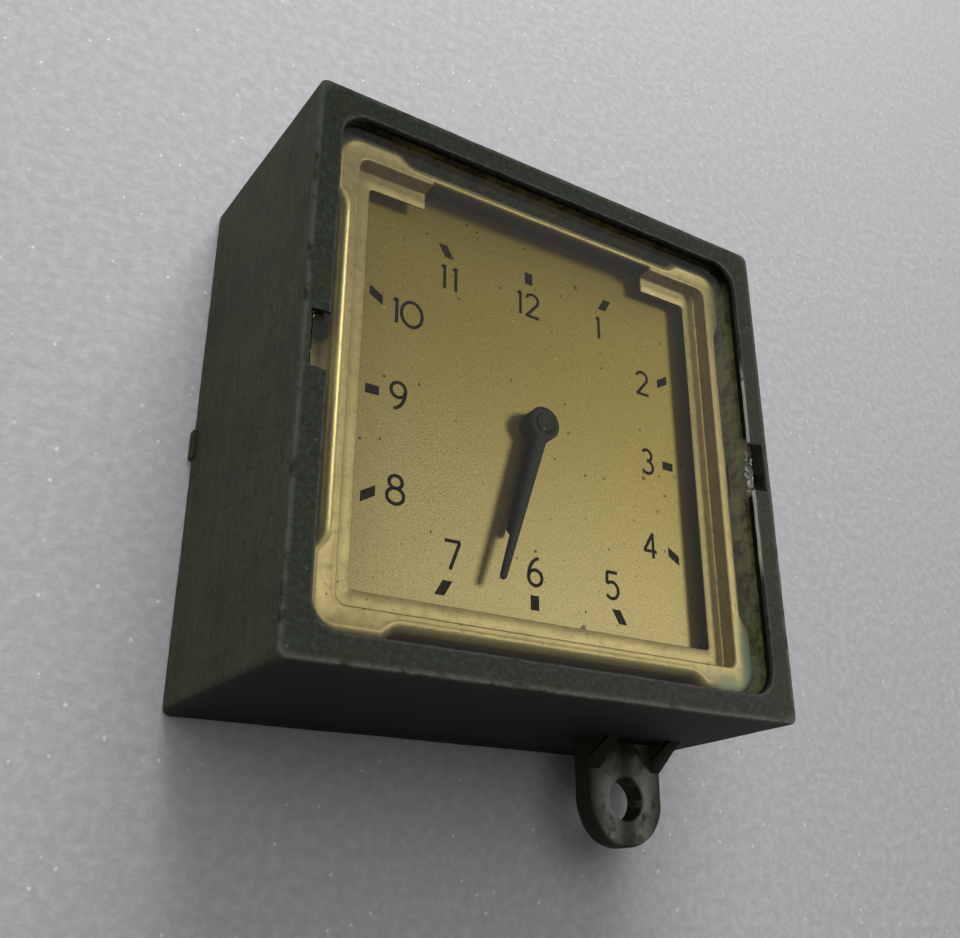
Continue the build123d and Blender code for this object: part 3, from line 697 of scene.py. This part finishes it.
def make_case():
    """The casting: wall, two lugs with their ribs, the corner blocks and the cover bosses."""
    wall, wall_shares = case_wall()
    lug_and_ribs = [lug_shell(), rib_shell(lug_x - lug_half), rib_shell(lug_x + lug_half - rib_thickness)]
    shells = [wall] + lug_and_ribs + [half_turned(shell) for shell in lug_and_ribs]
    lug_points = sum(len(points) for points, _ in shells[1:])
    block_low, block_high, block_middle, block_wide = 20.4, 24.0, 30.15, 5.4
    for x in (-block_middle, block_middle):
        for y in (-block_middle, block_middle):
            outline = box_outline(x, y, block_wide, block_wide, 0.6)
            shells.append(plate(outline, block_low, block_high, 0.3))
    boss_reach, boss_r, bore_r, boss_front, boss_back = 30.4, 2.2, 0.95, 10, cover_high[2]
    boss = [(boss_r - 0.2, boss_front), (boss_r, boss_front - 0.2), (boss_r, boss_back),
            (bore_r, boss_back), (bore_r, boss_front)]
    for x, y in ((boss_reach, 0), (0, boss_reach), (-boss_reach, 0), (0, -boss_reach)):
        shells.append(lathe(boss, (x, y), 32, closed=True))
    nub_x, nub_y, nub_wide, nub_tall, nub_front = 34.0, 1.0, 1.0, 3.8, 1.4
    for side in (-1, 1):
        outline = box_outline(side * nub_x, side * nub_y, nub_wide, nub_tall, 0.3)
        shells.append(plate(outline, 0.02, nub_front, 0.25))
    piece = build("case_casting", shells, "case", zinc, ["case"], smooth=45)
    points = np.concatenate([shell[0] for shell in shells])
    wall_count = len(wall[0])
    wear, bare_and_highlight, inside, painted_shade = np.zeros((4, len(points)))
    for share, on_wall in zip((wear, bare_and_highlight, inside), wall_shares):
        share[:wall_count] = on_wall
    on_lug = slice(wall_count, wall_count + lug_points)
    from_hole = np.abs(np.abs(np.abs(points[on_lug, 0]) - lug_x) - lug_hole_r)
    wear[on_lug] = 0.55 * smooth_step(1 - from_hole / 2.2) * (points[on_lug, 2] > lug_front - 0.3)
    rubbed = smooth_step((points[:, 2] - case_depth + 0.5) / 0.4)
    rubbed[on_lug] = 0.5
    # Painted shade goes on the bottom face, which faces the dark side, on the notch walls and on the lugs.
    below = smooth_step((-points[:, 1] - back_half + 0.9) / 0.4) * (np.abs(points[:, 0]) < back_half)
    painted_shade[:] = below * (1 - rubbed)
    painted_shade[:wall_count] += wall_shares[3]
    painted_shade[on_lug] = 0.75
    carry(piece, "wear", wear)
    carry(piece, "rubbed", rubbed)
    carry(piece, "bare_and_highlight", bare_and_highlight)
    carry(piece, "inside", inside)
    carry(piece, "painted_shade", np.clip(painted_shade, 0, 1))
    return piece


case_piece = make_case()

# %% [markdown]
# ## The glass and its bed
# Clear glass needs real thickness to refract. A Light Path switch lets lamp light through as
# if the pane weren't there, because a path tracer finds that light poorly through glass. In
# the notches the pane's edge is ragged. On the right it is crushed, so its faces are frosted
# and splinters lie on it.

# %% Glass finishes


def glass_finish():
    """Clear, slightly green glass that lamp light passes through."""
    material = bpy.data.materials.new("window_glass")
    material.use_nodes = True
    tree = material.node_tree
    shader = tree.nodes["Principled BSDF"]
    shader.inputs["Base Color"].default_value = (0.95, 0.985, 0.95, 1)
    shader.inputs["Roughness"].default_value = 0.02
    shader.inputs["IOR"].default_value = 1.5
    shader.inputs["Transmission Weight"].default_value = 1.0
    clear = add(tree, "BsdfTransparent", {"Color": (0.93, 0.96, 0.93, 1)})
    path = add(tree, "LightPath")
    choice = add(tree, "MixShader", {0: path.outputs["Is Shadow Ray"], 1: shader.outputs[0],
                                     2: clear.outputs[0]})
    tree.links.new(choice.outputs[0], tree.nodes["Material Output"].inputs["Surface"])
    return material


def chipped_finish():
    """Crushed glass: white, sharp and sparkling."""
    chips = Finish("chipped_glass", (248, 250, 252), metallic=0.6, roughness=0.25)
    chips.coat(patches, (210, 214, 212), Scale=1500, Low=0.5, High=0.6)
    chips.coat(patches, (150, 154, 150), Scale=900, Low=0.55, High=0.62, Shift=4)
    chips.grain(1200, 0.3)
    return chips.material


def cement_finish():
    """Old black bedding compound: dull, crumbly and dusty."""
    cement = Finish("black_cement", (24, 25, 20), roughness=0.85)
    cement.coat(patches, (70, 70, 58), 0.5, Scale=1400, Low=0.5, High=0.7)
    cement.grain(1500, 0.15)
    return cement.material


chipped = chipped_finish()

# %% Glass pane
glass_corner_r, chip_spill = 1.4, 0.6


def make_glass():
    """A flat pane. In the notches its outermost rings are pushed in and down by a ragged
    ripple. In the right-hand one the faces between those rings are frosted."""
    cap_inset = glass_corner_r - 0.2
    outline = square_path(glass_half, glass_corner_r)
    x, y = outline.T
    beside_notch = (y > notch_low - chip_spill) & (y < notch_high + chip_spill)
    open_edge = (np.abs(x) > glass_half - 0.01) & beside_notch
    chip = np.where(open_edge, 0.5 + 0.5 * ripple(outline, 0.7, 21), 0)
    bevel_in, bevel_up = 0.15 * bend(3).T
    inset = np.r_[cap_inset, bevel_in, bevel_in[::-1], 0.6, 1.0, cap_inset]
    heights = np.r_[glass_back, glass_back + bevel_up, glass_front - bevel_up[::-1], [glass_front] * 3]
    pushed_in = np.r_[0, [0.35] * 6, 0.15, 0, 0]
    pushed_down = np.r_[[0] * 4, 0.1, 0.2, 0.25, 0.05, 0, 0]
    flat = outline + (inset[:, None] + pushed_in[:, None] * chip)[..., None] * inward(outline)
    rings = lifted(flat, heights[:, None] - pushed_down[:, None] * chip)
    piece = build("window_pane", [ring_shell(rings)], "case", glass_finish(), ["glass"],
                  smooth=25)
    piece.data.materials.append(chipped)
    frosted = np.zeros((len(heights) - 1, len(outline)), int)
    frosted[2:8, open_edge & (x > 0)] = 1
    piece.data.polygons.foreach_set("material_index", np.r_[frosted.ravel(), 0, 0])
    piece.data.update()
    return piece


glass_pane = make_glass()

# %% Cement bed


def make_cement():
    """A thin square ring under the rim with a ragged inner edge. It stops at the notches,
    so it is made of an upper and a lower half."""
    inner = square_path(window_half + 0.05, window_corner_r)
    outer = square_path(glass_half - 0.1, glass_corner_r)
    inner = inner - inward(inner) * (0.10 * ripple(inner, 1.3, 31) - 0.12)[:, None]
    levels = ((inner, glass_front), (inner, rim_under), (outer, rim_under), (outer, glass_front))
    rings = rings_at(levels[::-1])
    gap, shells = 0.5, []
    for side, notch_end in ((-1, -notch_low), (1, notch_high)):
        kept = side * outer[:, 1] > notch_end + gap
        start = np.flatnonzero(kept & ~np.roll(kept, 1))[0]
        order = np.roll(np.arange(len(kept)), -start)[:kept.sum()]
        points, faces = rings[:, order].reshape(-1, 3), grid_faces(4, len(order), True, False).tolist()
        first_end = [row * len(order) for row in range(4)]
        last_end = [corner + len(order) - 1 for corner in first_end][::-1]
        shells.append((points, faces + [first_end, last_end]))
    build("bedding_cement", shells, "case", cement_finish(), ["glass_cement"])


make_cement()

# %% [markdown]
# ## Dust
# Dust settles as separate grains, and grains read better than a haze in the shader. Each grain
# is an eight-faced crumb, stretched and turned by seeded dice, and all of them are one piece.
# The splinters of the crushed glass edge are made the same way.

# %% Dust grains and splinters


def crumbs(middles, sizes, seed):
    """Octahedra at many places: six points each, scaled by a size, squashed and turned."""
    dice = np.random.default_rng(seed)
    count = len(middles)
    tips = np.stack([np.eye(3), -np.eye(3)], 1).reshape(-1, 3)
    shape = tips[None] * dice.uniform(0.5, 1.4, (count, 1, 3)) * sizes[:, None, None]
    turn = dice.uniform(0, 2 * pi, count)[:, None]
    x = shape[..., 0] * np.cos(turn) - shape[..., 1] * np.sin(turn)
    y = shape[..., 0] * np.sin(turn) + shape[..., 1] * np.cos(turn)
    points = np.stack([x, y, shape[..., 2] * 0.6], -1) + middles[:, None]
    corners = np.array([(0, 2, 4), (2, 1, 4), (1, 3, 4), (3, 0, 4),
                        (2, 0, 5), (1, 2, 5), (3, 1, 5), (0, 3, 5)])
    faces = (corners[None] + 6 * np.arange(count)[:, None, None]).reshape(-1, 3)
    return points.reshape(-1, 3), faces.tolist()


def make_chips():
    """Splinters along the edge that the right-hand notch leaves open."""
    dice, count = np.random.default_rng(55), 150
    middles = np.stack([glass_half - 0.5 - 1.1 * dice.random(count) ** 2,
                        dice.uniform(notch_low + 0.2, notch_high - 0.9, count),
                        dice.uniform(glass_back + 0.5, glass_front - 0.05, count)], 1)
    sizes = 0.10 + 0.26 * dice.random(count) ** 2
    return build("glass_chips", [crumbs(middles, sizes, 56)], "case", chipped, smooth=10)


def dust_finish():
    """Pale lint and grit."""
    dust = Finish("pale_dust", (168, 166, 148), roughness=0.9)
    dust.coat(patches, (112, 108, 88), Scale=500, Low=0.45, High=0.6)
    return dust.material


def make_dust():
    """Grains all over the glass, most of them tiny."""
    dice, count = np.random.default_rng(77), 900
    across = dice.uniform(-1, 1, (count, 2)) * (window_half - 0.5)
    sizes = 0.012 + 0.05 * dice.random(count) ** 4
    middles = np.c_[across, np.full(count, glass_front + 0.008)]
    build("window_dust", [crumbs(middles, sizes, 78)], "case", dust_finish(), smooth=180)


make_dust()
chips_piece = make_chips()

# %% [markdown]
# ## The brass mask
# The mask is one drawn pressing. A sheet model suits it: rings run from the outer wall's foot,
# over the bead, across the flat, down the inner wall and in along the ledge. A Solidify
# modifier then gives the sheet its thickness on the hidden side.

# %% Brass finish


def brass_finish():
    """Old lacquered brass: lighter and glossier on the straight runs of the bead, where it is
    polished and a highlight is partly painted, olive where the lacquer has gone dull, brown
    specks, grey-green verdigris near one corner, and painted shade with some grime on the
    outer wall, under the top rim and on the ears."""
    brass = Finish("mask_brass", (166, 147, 104), metallic=0.8, roughness=0.48)
    brass.coat(patches, (150, 134, 90), 0.7, Scale=180, Low=0.42, High=0.62)
    brass.rough(brass.coat(patches, (116, 102, 66), 0.5, Scale=1100, Low=0.48, High=0.68, Shift=4), 0.55)
    brass.coat(specks, (52, 40, 20), 0.9, Scale=900, Size=0.15, Share=0.3)
    cloud = brass.mask(patches, Scale=260, Low=0.30, High=0.50)
    bloom = brass.times(brass.attribute("verdigris"), cloud)
    brass.layer(bloom, (140, 150, 128))
    brass.metal_share(bloom, 0.05)
    brass.rough(bloom, 0.85)
    # Painted shade with some grime: the outer wall, the band under the top rim and the ears are darkened.
    brass.layer(brass.attribute("shade_and_grime"), (50, 42, 23))
    # The bead's straight runs are lighter and glossier: polished brass, with a painted highlight in the
    # lighter colour.
    rubbing = brass.mask(patches, Scale=240, Low=0.30, High=0.45, Shift=2)
    polish_and_highlight = brass.times(brass.attribute("polish_and_highlight"), rubbing)
    brass.layer(polish_and_highlight, (214, 194, 138))
    brass.rough(polish_and_highlight, 0.26)
    brass.grain(1300, 0.02, 0.6)
    return brass.material


# %% Mask outline
wall_half, ledge_half, flat_half = 26.7, 24.46, 28.65
ledge_front, slot_half, slot_edge = mask_top - 2.15, 17.05, 27.15
tab_corner_r, tab_step_y, tab_step_run = 3.3, 19.6, 2.2
ear_low, ear_high, ear_reach, ear_drop = -3.2, 2.6, 31.3, 2.8
corner_start, corner_count, bead_r = 19.0, 44, 1.15
wall_top, wall_steps = mask_top - bead_r, np.linspace(1, 0.08, 9)
mask_steps = np.unique(np.r_[np.linspace(-corner_start, corner_start, 96),
                             [side * (slot_half + step) for side in (-1, 1) for step in (0, 0.02)]])


def resampled(line, count):
    """The same line with evenly spaced points, found by its length so far."""
    run = np.r_[0, np.cumsum(np.linalg.norm(np.diff(line, axis=0), axis=1))]
    even = np.linspace(0, run[-1], count)
    return np.stack([np.interp(even, run, line[:, axis]) for axis in (0, 1)], 1)


def four_sides(corner_line, half):
    """A closed ring: each side's fixed steps at the half width, then the corner's points."""
    side = np.stack([np.full_like(mask_steps, half), mask_steps], 1)
    return all_four(np.concatenate([side, resampled(corner_line, corner_count)[1:-1]]))


def plain_loop(half, radius):
    """A rounded square as a mask ring."""
    corner = arc(half - radius, radius, np.linspace(0, pi / 2, 12))
    return four_sides(np.concatenate([[(half, corner_start)], corner, [(corner_start, half)]]), half)


def tabbed_loop():
    """The outer edge: beside each corner it steps out along a smooth S, and the corner itself
    is a quarter circle."""
    middle = mask_half - tab_corner_r
    y = np.linspace(corner_start, middle, 60)
    x = flat_half + (mask_half - flat_half) * smooth_step((y - tab_step_y) / tab_step_run)
    step = np.stack([x, y], 1)
    corner = arc(middle, tab_corner_r, np.linspace(0, pi / 2, 30)[1:-1])
    return four_sides(np.concatenate([step, corner, step[::-1, ::-1]]), flat_half)


# %% Mask pressing


def mask_rings():
    """All rings from the wall's foot to the ledge's edge, then the row where the bead starts
    and the row that the slot reaches."""
    sag, fold, foot = 0.06, 0.22, 0.25
    outer = tabbed_loop()
    into = inward(outer)
    rings = [(outer, wall_top - share * (wall_top - dial_front - 0.05)) for share in wall_steps]
    bead_row = len(rings)
    for down, inset in bead_r * bend(11):
        rings.append((outer + inset * into, mask_top - down))
    flat_top = mask_top - sag
    rings.append((outer + (bead_r + 0.06) * into, flat_top + 0.03))
    slot_row = len(rings)
    rings.append((plain_loop(slot_edge, 1.4), flat_top))
    for out, down in fold * bend(5):
        rings.append((plain_loop(wall_half + out, 1.2), flat_top - down))
    for up, inset in foot * bend(4):
        rings.append((plain_loop(wall_half - inset, 1.0), ledge_front + up))
    rings.append((plain_loop(ledge_half + 1.2, 0.7), ledge_front))
    rings.append((plain_loop(ledge_half + 0.06, 0.5), ledge_front))
    rings.append((plain_loop(ledge_half, 0.5), ledge_front - 0.05))
    return rings_at(rings), bead_row, slot_row


def make_mask():
    """The sheet. At the middle of the left and right sides the wall turns out into an ear,
    and on the top side the ledge and inner wall are cut away between the slot's ends."""
    points, bead_row, slot_row = mask_rings()
    wall = points[:bead_row]
    x, y = wall[..., 0], wall[..., 1]
    at_side = (np.abs(x) > flat_half - 0.01) & (np.abs(y) < 10)
    middle, reach = (ear_low + ear_high) / 2, (ear_high - ear_low) / 2
    ear = smooth_step(reach + 0.5 - np.abs(y - middle)) * at_side
    share = wall_steps[:, None]
    ear_x = np.sign(x) * (flat_half + (ear_reach - flat_half) * share)
    ear_z = wall_top - (ear_drop - bead_r) * share ** 0.8
    wall[..., 0] += ear * (ear_x - x)
    wall[..., 2] += ear * (ear_z - wall[..., 2])
    points[..., 2] += 0.025 * ripple(points, 6, 41)
    rows, columns = points.shape[:2]
    faces = grid_faces(rows, columns)
    face_row, face_column = faces[:, 0] // columns, faces[:, 0] % columns
    nearest = (np.abs(points[-1, :, 0]) < slot_half + 0.01) & (points[-1, :, 1] > 0)
    in_slot = nearest & np.roll(nearest, -1)
    faces = faces[~((face_row >= slot_row) & in_slot[face_column])]
    used = np.unique(faces)
    renumber = np.zeros(rows * columns, int)
    renumber[used] = np.arange(len(used))
    kept = points.reshape(-1, 3)[used]
    piece = build("mask_pressing", [(kept, renumber[faces].tolist())], "case",
                  brass_finish(), ["dial_mask"], smooth=60)
    px, py, pz = kept.T
    side, end = np.abs(px), np.abs(py)
    bloom_x, bloom_y, bloom_r = 28.5, -28.0, 8.5
    from_bloom = np.hypot(px - bloom_x, py - bloom_y)
    on_flange = smooth_step((np.maximum(px, -py) - 27.2) / 0.6)
    # Painted shade with some grime: the outer wall down in the gap, the band under the top rim and the ears
    # in the notches.
    on_wall = smooth_step((mask_top - 1.0 - pz) / 1.4) * (np.maximum(side, end) > 28.2)
    under_top_rim, on_ear = smooth_step((py - 28.6) / 1.2), smooth_step(side - 29.0) * (end < 6)
    green = smooth_step((bloom_r - from_bloom) / 5) * on_flange
    shade_and_grime = 0.85 * on_wall + 0.35 * under_top_rim + 0.4 * on_ear
    # The polished band on the bead, partly a painted highlight, keeps to its straight runs.
    along_bead = used // columns - bead_row
    straight = smooth_step((20 - np.minimum(side, end)) / 2)
    carry(piece, "verdigris", green)
    carry(piece, "shade_and_grime", np.clip(shade_and_grime, 0, 1))
    carry(piece, "polish_and_highlight", straight * (along_bead > 2) * (along_bead < 9))
    sheet = piece.modifiers.new("sheet", "SOLIDIFY")
    sheet.thickness = 0.36 * MM
    sheet.offset = -1
    sheet.use_even_offset = True
    return piece


mask_piece = make_mask()

# %% [markdown]
# ## The dial
# The dial is matt gilt: metal flake that scatters light widely, so it is bright towards the
# lamp's mirror direction and dull away from it. Brown tarnish specks are what makes it old.

# %% Dial finish


def gilt_finish():
    """Matt gilt with a fine grain, scattered brown specks and a painted whitish reflection that
    makes it paler towards the bottom left.
    """
    gilt = Finish("gilt_dial", (154, 133, 58), metallic=0.5, roughness=0.5)
    gilt.coat(patches, (150, 128, 70), 0.35, Scale=120, Low=0.42, High=0.66)
    # Painted reflection: the dial is paler and whiter towards the bottom left.
    gilt.layer(gilt.attribute("pale"), (182, 164, 122))
    gilt.coat(patches, (110, 86, 36), 0.5, Scale=5600, Low=0.46, High=0.60)
    gilt.coat(patches, (206, 188, 130), 0.5, Scale=5600, Low=0.54, High=0.66, Shift=5)
    gilt.coat(specks, (72, 50, 24), 0.8, Scale=950, Size=0.12, Share=0.6)
    gilt.coat(specks, (44, 32, 18), 0.95, Scale=420, Size=0.10, Share=0.85, Shift=3)
    gilt.coat(specks, (70, 50, 24), 0.8, Scale=190, Size=0.07, Share=0.9, Shift=6)
    gilt.coat(specks, (214, 200, 156), 0.6, Scale=1500, Size=0.2, Share=0.06, Shift=8)
    gilt.grain(5000, 0.02, 0.8)
    return gilt.material


def make_dial():
    """A flat plate with a softened edge and a hole, as a closed ring profile: the hole's ring
    grows into the square outline."""
    corner_r, hole_r, edge = 4.0, 2.0, 0.06
    outline = square_path(dial_high[0], corner_r)
    turn = np.arctan2(outline[:, 1], outline[:, 0])
    hole = arc(0, hole_r, turn)
    low, high = dial_low[2], dial_high[2]
    shares = np.r_[0, 0.004, 0.3, 0.6, 0.99, 1, 1, 0.99, 0.3, 0.004, 0]
    heights = np.r_[high - edge, [high] * 4, high - edge, low + edge, [low] * 3, low + edge]
    flat = hole + shares[:, None, None] * (outline - hole)
    rings = lifted(flat, heights[:, None])[::-1]
    piece = build("dial_plate", [ring_shell(rings, rows_close=True)], "case", gilt_finish(),
                  ["dial"], smooth=15)
    across, along = rings[..., 0].ravel(), rings[..., 1].ravel()
    # A painted whitish reflection, strongest at the bottom left.
    carry(piece, "pale", 0.75 * smooth_step((14 - along - 0.4 * across) / 42))
    return piece


dial_piece = make_dial()

# %% [markdown]
# ## The figures
# The figures are printed, so they are strokes of even width. Each stroke is a line, or part
# of an ellipse, carried with a flat box section. Real geometry keeps their edges crisp.

# %% Strokes


def line(*points):
    """A straight stroke through points."""
    return np.array(points, float), False


def bow(x, y, wide, tall, start, end, steps=20):
    """Part of an ellipse about (x, y), between two angles in degrees."""
    turn = np.radians(np.linspace(start, end, steps))
    return np.array([x, y]) + [wide, tall] * arc(0, 1, turn), False


def loop(x, y, wide, tall, steps=32):
    """A whole ellipse."""
    turn = np.linspace(0, 2 * pi, steps, endpoint=False)
    return np.array([x, y]) + [wide, tall] * arc(0, 1, turn), True


def both(first, second):
    """Two open strokes drawn as one."""
    return np.concatenate([first[0], second[0]]), False


def upside_down(strokes):
    """The same strokes upside down."""
    return [(-points, closed) for points, closed in strokes]


six = [loop(0.01, -0.21, 0.27, 0.27), bow(0.22, -0.2, 0.48, 0.68, 180, 97)]
figures = {
    "0": [loop(0, 0, 0.40, 0.48)],
    "1": [line((0.02, -0.48), (0.02, 0.48)), line((0.02, 0.46), (-0.10, 0.36))],
    "2": [both(bow(-0.01, 0.23, 0.26, 0.25, 165, -38), line((-0.27, -0.47))),
          line((-0.31, -0.47), (0.29, -0.47))],
    "3": [bow(-0.03, 0.25, 0.22, 0.23, 150, -90), bow(-0.03, -0.22, 0.27, 0.26, 90, -150)],
    "4": [line((0.12, -0.48), (0.12, 0.48)), line((0.12, 0.46), (-0.29, -0.22)),
          line((-0.31, -0.22), (0.28, -0.22))],
    "5": [line((0.24, 0.47), (-0.20, 0.47)),
          both(line((-0.20, 0.49), (-0.23, 0.08)), bow(-0.02, -0.18, 0.28, 0.30, 128, -145))],
    "6": six,
    "7": [line((-0.29, 0.47), (0.29, 0.47)), line((0.27, 0.46), (-0.08, -0.48))],
    "8": [loop(0, 0.255, 0.235, 0.215), loop(0, -0.215, 0.30, 0.265)],
    "9": upside_down(six),
}


def stroke_shell(stroke, place, size, width, low, high):
    """A box section along a line: two corners stand half a width to each side, below and
    above. An open stroke gets end caps."""
    points, closed = stroke
    points = points * size + np.array(place)
    if closed:
        ahead = np.roll(points, -1, 0) - np.roll(points, 1, 0)
    else:
        ahead = np.gradient(points, axis=0)
    left = np.stack([-ahead[:, 1], ahead[:, 0]], 1)
    left *= width / 2 / np.linalg.norm(left, axis=1, keepdims=True)
    section = [(points - left, low), (points - left, high), (points + left, high), (points + left, low)]
    return ring_shell(rings_at(section).transpose(1, 0, 2)[::-1], closed)


def ink_finish():
    """Worn blue-black printing ink."""
    ink = Finish("dial_ink", (17, 14, 8), roughness=0.8, specular=0.05)
    ink.coat(patches, (58, 50, 30), 0.55, Scale=1300, Low=0.5, High=0.66)
    ink.coat(specks, (120, 102, 60), 0.8, Scale=1500, Size=0.2, Share=0.12)
    return ink.material


# %% Figures and batons
# Places are shares of the case's width, from the dial's centre.
unit = 2 * case_front_half
figure_height, figure_stroke, ink_rise = 0.052 * unit, 0.0062 * unit, 0.03
ink_levels = (dial_front - ink_rise, dial_front + ink_rise)
print_shift = np.array([-0.2, -0.2])
figure_places = {
    "12": (-0.005, 0.266), "11": (-0.180, 0.265), "1": (0.165, 0.269), "2": (0.272, 0.174),
    "3": (0.274, 0.003), "4": (0.268, -0.170), "5": (0.171, -0.264), "6": (0.001, -0.267),
    "7": (-0.165, -0.267), "8": (-0.275, -0.174), "9": (-0.276, -0.003), "10": (-0.268, 0.162),
}
baton_places = [
    (-0.003, 0.324), (0.183, 0.326), (0.325, 0.191), (0.325, 0.004), (0.325, -0.182), (0.185, -0.321),
    (0.0, -0.323), (-0.181, -0.325), (-0.325, -0.191), (-0.326, -0.004), (-0.327, 0.180), (-0.188, 0.320),
]
figure_spread = {"10": (-0.36, 0.24), "11": (-0.22, 0.24), "12": (-0.36, 0.20)}


def figure_shells():
    """Every stroke of every hour's figures."""
    shells = []
    for label, place in figure_places.items():
        for digit, shift in zip(label, figure_spread.get(label, (0.0,))):
            middle = np.array(place) * unit + (shift * figure_height, 0) + print_shift
            shells += [stroke_shell(stroke, middle, figure_height, figure_stroke, *ink_levels)
                       for stroke in figures[digit]]
    return shells


def baton_shell(x, y):
    """A slanted bar: its two ends stay level or upright, and it leans towards the centre
    except at the quarters."""
    quarter = min(abs(x), abs(y)) < 0.05
    tall, wide = 0.013, 0.00875 if quarter else 0.00925
    tilt = 0 if quarter else 0.0075 * np.sign(x * y)
    ends = np.array([(-wide - tilt, -tall), (wide - tilt, -tall), (wide + tilt, tall), (tilt - wide, tall)])
    if abs(x) > abs(y):
        ends = ends[:, ::-1][::-1]
    outline = rounded((ends + (x, y)) * unit + print_shift, 0.06, 2)
    return plate(outline, *ink_levels, 0.01, 1)


ink = ink_finish()
build("dial_figures", figure_shells(), "case", ink)
build("dial_batons", [baton_shell(x, y) for x, y in baton_places], "case", ink)

# %% [markdown]
# ## The hands
# Each hand is a stamped blade with a crowned face on a round boss. The blade is a closed
# section that narrows along its length, and its end is rounded by the same rule as an ellipse.

# %% Hands


def hand_finish():
    """Satin black lacquer, a little dusty."""
    black = Finish("black_lacquer", (6, 7, 3), roughness=0.6, specular=0.25)
    black.coat(patches, (34, 36, 28), 0.15, Scale=800, Low=0.5, High=0.75)
    black.coat(specks, (130, 130, 118), Scale=1000, Size=0.22, Share=0.05)
    black.grain(1200, 0.02)
    return black.material


def blade_shell(length, root, tip, low, high, angle):
    """A crowned blade along an angle. The half width falls evenly from root to tip, and within
    one tip width of the end it follows sqrt(1 - v^2). The section is flat below and domed above."""
    tip_start = length - tip / 2
    tip_turn = np.linspace(0.2, 1.52, 8)
    along = np.r_[np.linspace(0, tip_start, 24), length - tip / 2 * (1 - np.sin(tip_turn))]
    past = np.clip((along - tip_start) / (tip / 2), 0, 1)
    half = (root + (tip - root) * along / length) / 2 * np.sqrt(np.maximum(1 - past ** 2, 0.002))
    across = np.array([-0.9, -1, -1, -0.75, -0.4, 0, 0.4, 0.75, 1, 1, 0.9])
    dome = np.array([0, 0.15, 0.55, 0.86, 0.97, 1, 0.97, 0.86, 0.55, 0.15, 0])
    ahead = np.array([np.cos(angle), np.sin(angle)])
    left = np.array([-ahead[1], ahead[0]])
    flat = along[:, None, None] * ahead + (half[:, None] * across)[..., None] * left
    return ring_shell(lifted(flat, low + (high - low) * dome)[:, ::-1][::-1])


# %% Both hands
# The CAD hands rest at these angles, counted clockwise from twelve.
hour_angle, minute_angle, hub_r = radians(90 - 196.37), radians(90 - 196.5), 2.13
hour_top, minute_top = hour_high[2], minute_high[2] - 0.2
hour_bore_r, minute_bore_r, minute_neck_r = 1.52, 0.92, 1.6
hour_hub = [(hour_bore_r, hour_low[2]), (hub_r - 0.1, hour_low[2]), (hub_r, hour_low[2] + 0.1),
            (hub_r, hour_top - 0.08), (hub_r - 0.08, hour_top), (hour_bore_r, hour_top)]
minute_boss = [(minute_neck_r, -0.42), (hub_r - 0.06, -0.42), (hub_r, -0.34), (hub_r, -0.08),
               (hub_r - 0.1, 0), (1.45, 0.02), (1.3, -0.06), (1.2, 0.02), (1.12, 0.17),
               (0.90, 0.18), (0.62, 0.13), (0.02, 0.13), (0.02, 0.11), (minute_bore_r, 0.11)]
minute_hub = [(minute_bore_r, minute_low[2]), (minute_neck_r, minute_low[2])]
minute_hub += [(radius, minute_top + rise) for radius, rise in minute_boss]
lacquer = hand_finish()
hour_blade = blade_shell(length=15.2, root=2.5, tip=1.3, low=hour_top - 0.3, high=hour_top,
                         angle=hour_angle)
minute_blade = blade_shell(length=21.3, root=1.95, tip=0.85, low=minute_top - 0.4, high=minute_top,
                           angle=minute_angle)
for hand, body, blade, hub in (("hour", "hour_works", hour_blade, hour_hub),
                               ("minute", "minute_works", minute_blade, minute_hub)):
    shells = [blade, lathe(hub, closed=True)]
    build(f"{hand}_blade", shells, body, lacquer, [f"{hand}_hand"])

# %% [markdown]
# ## The movement, cover and knobs
# These keep their CAD shapes. Each slot of the record gets one finish, and the finish is put
# on every CAD node that uses it.

# %% Metal finishes


def metal(name, colour, dull, dark, roughness):
    """Turned or brushed metal with fine streaks, dull patches and dark specks."""
    made = Finish(name, colour, metallic=1.0, roughness=roughness)
    streak = made.coat(streaks, dull, 0.3, Along_X=300, Along_Y=4200, Along_Z=4200, Low=0.42, High=0.62)
    made.coat(patches, dull, 0.6, Scale=260, Low=0.46, High=0.66)
    made.coat(specks, dark, Scale=700, Size=0.28, Share=0.10)
    made.rough(made.mask(patches, Scale=420, Low=0.4, High=0.7), roughness + 0.22)
    made.bump(streak, 0.01, 0.5)
    return made.material


finishes = {
    "movement_brass": metal("plate_brass", (205, 172, 98), (160, 130, 70), (70, 50, 26), 0.3),
    "pivot_steel": metal("pivot_steel", (176, 178, 180), (130, 130, 128), (60, 52, 44), 0.25),
    "blued_steel": metal("blued_steel", (52, 66, 120), (38, 44, 78), (40, 34, 36), 0.28),
    "screw_steel": metal("screw_steel", (150, 150, 148), (112, 108, 100), (70, 52, 38), 0.36),
    "cover_steel": metal("cover_steel", (122, 122, 114), (92, 90, 80), (70, 50, 34), 0.5),
    "knob_brass": metal("knob_brass", (196, 164, 96), (140, 116, 66), (58, 44, 24), 0.36),
}
dressed = 0
for part in frame["record"]["subparts"]:
    node, slot = frame["nodes"][part["node"]], part["material_slot"]
    if slot in finishes and not node.hide_render:
        node.data.materials.clear()
        node.data.materials.append(finishes[slot])
        dressed += 1
print("CAD nodes dressed", dressed)

# %% What each lamp lights
# The key lamp leaves out the pane, whose surface would only mirror it.
shown = [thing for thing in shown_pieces() if thing is not glass_pane]
lights_only(key_lamp, "clock_without_glass", *shown)
lights_only(mask_lamp, "mask_alone", mask_piece)
lights_only(case_lamp, "case_and_mask", case_piece, mask_piece, chips_piece)
lights_only(dial_lamp, "dial_and_mask", dial_piece, mask_piece)
print("lit by the key lamp", len(shown))
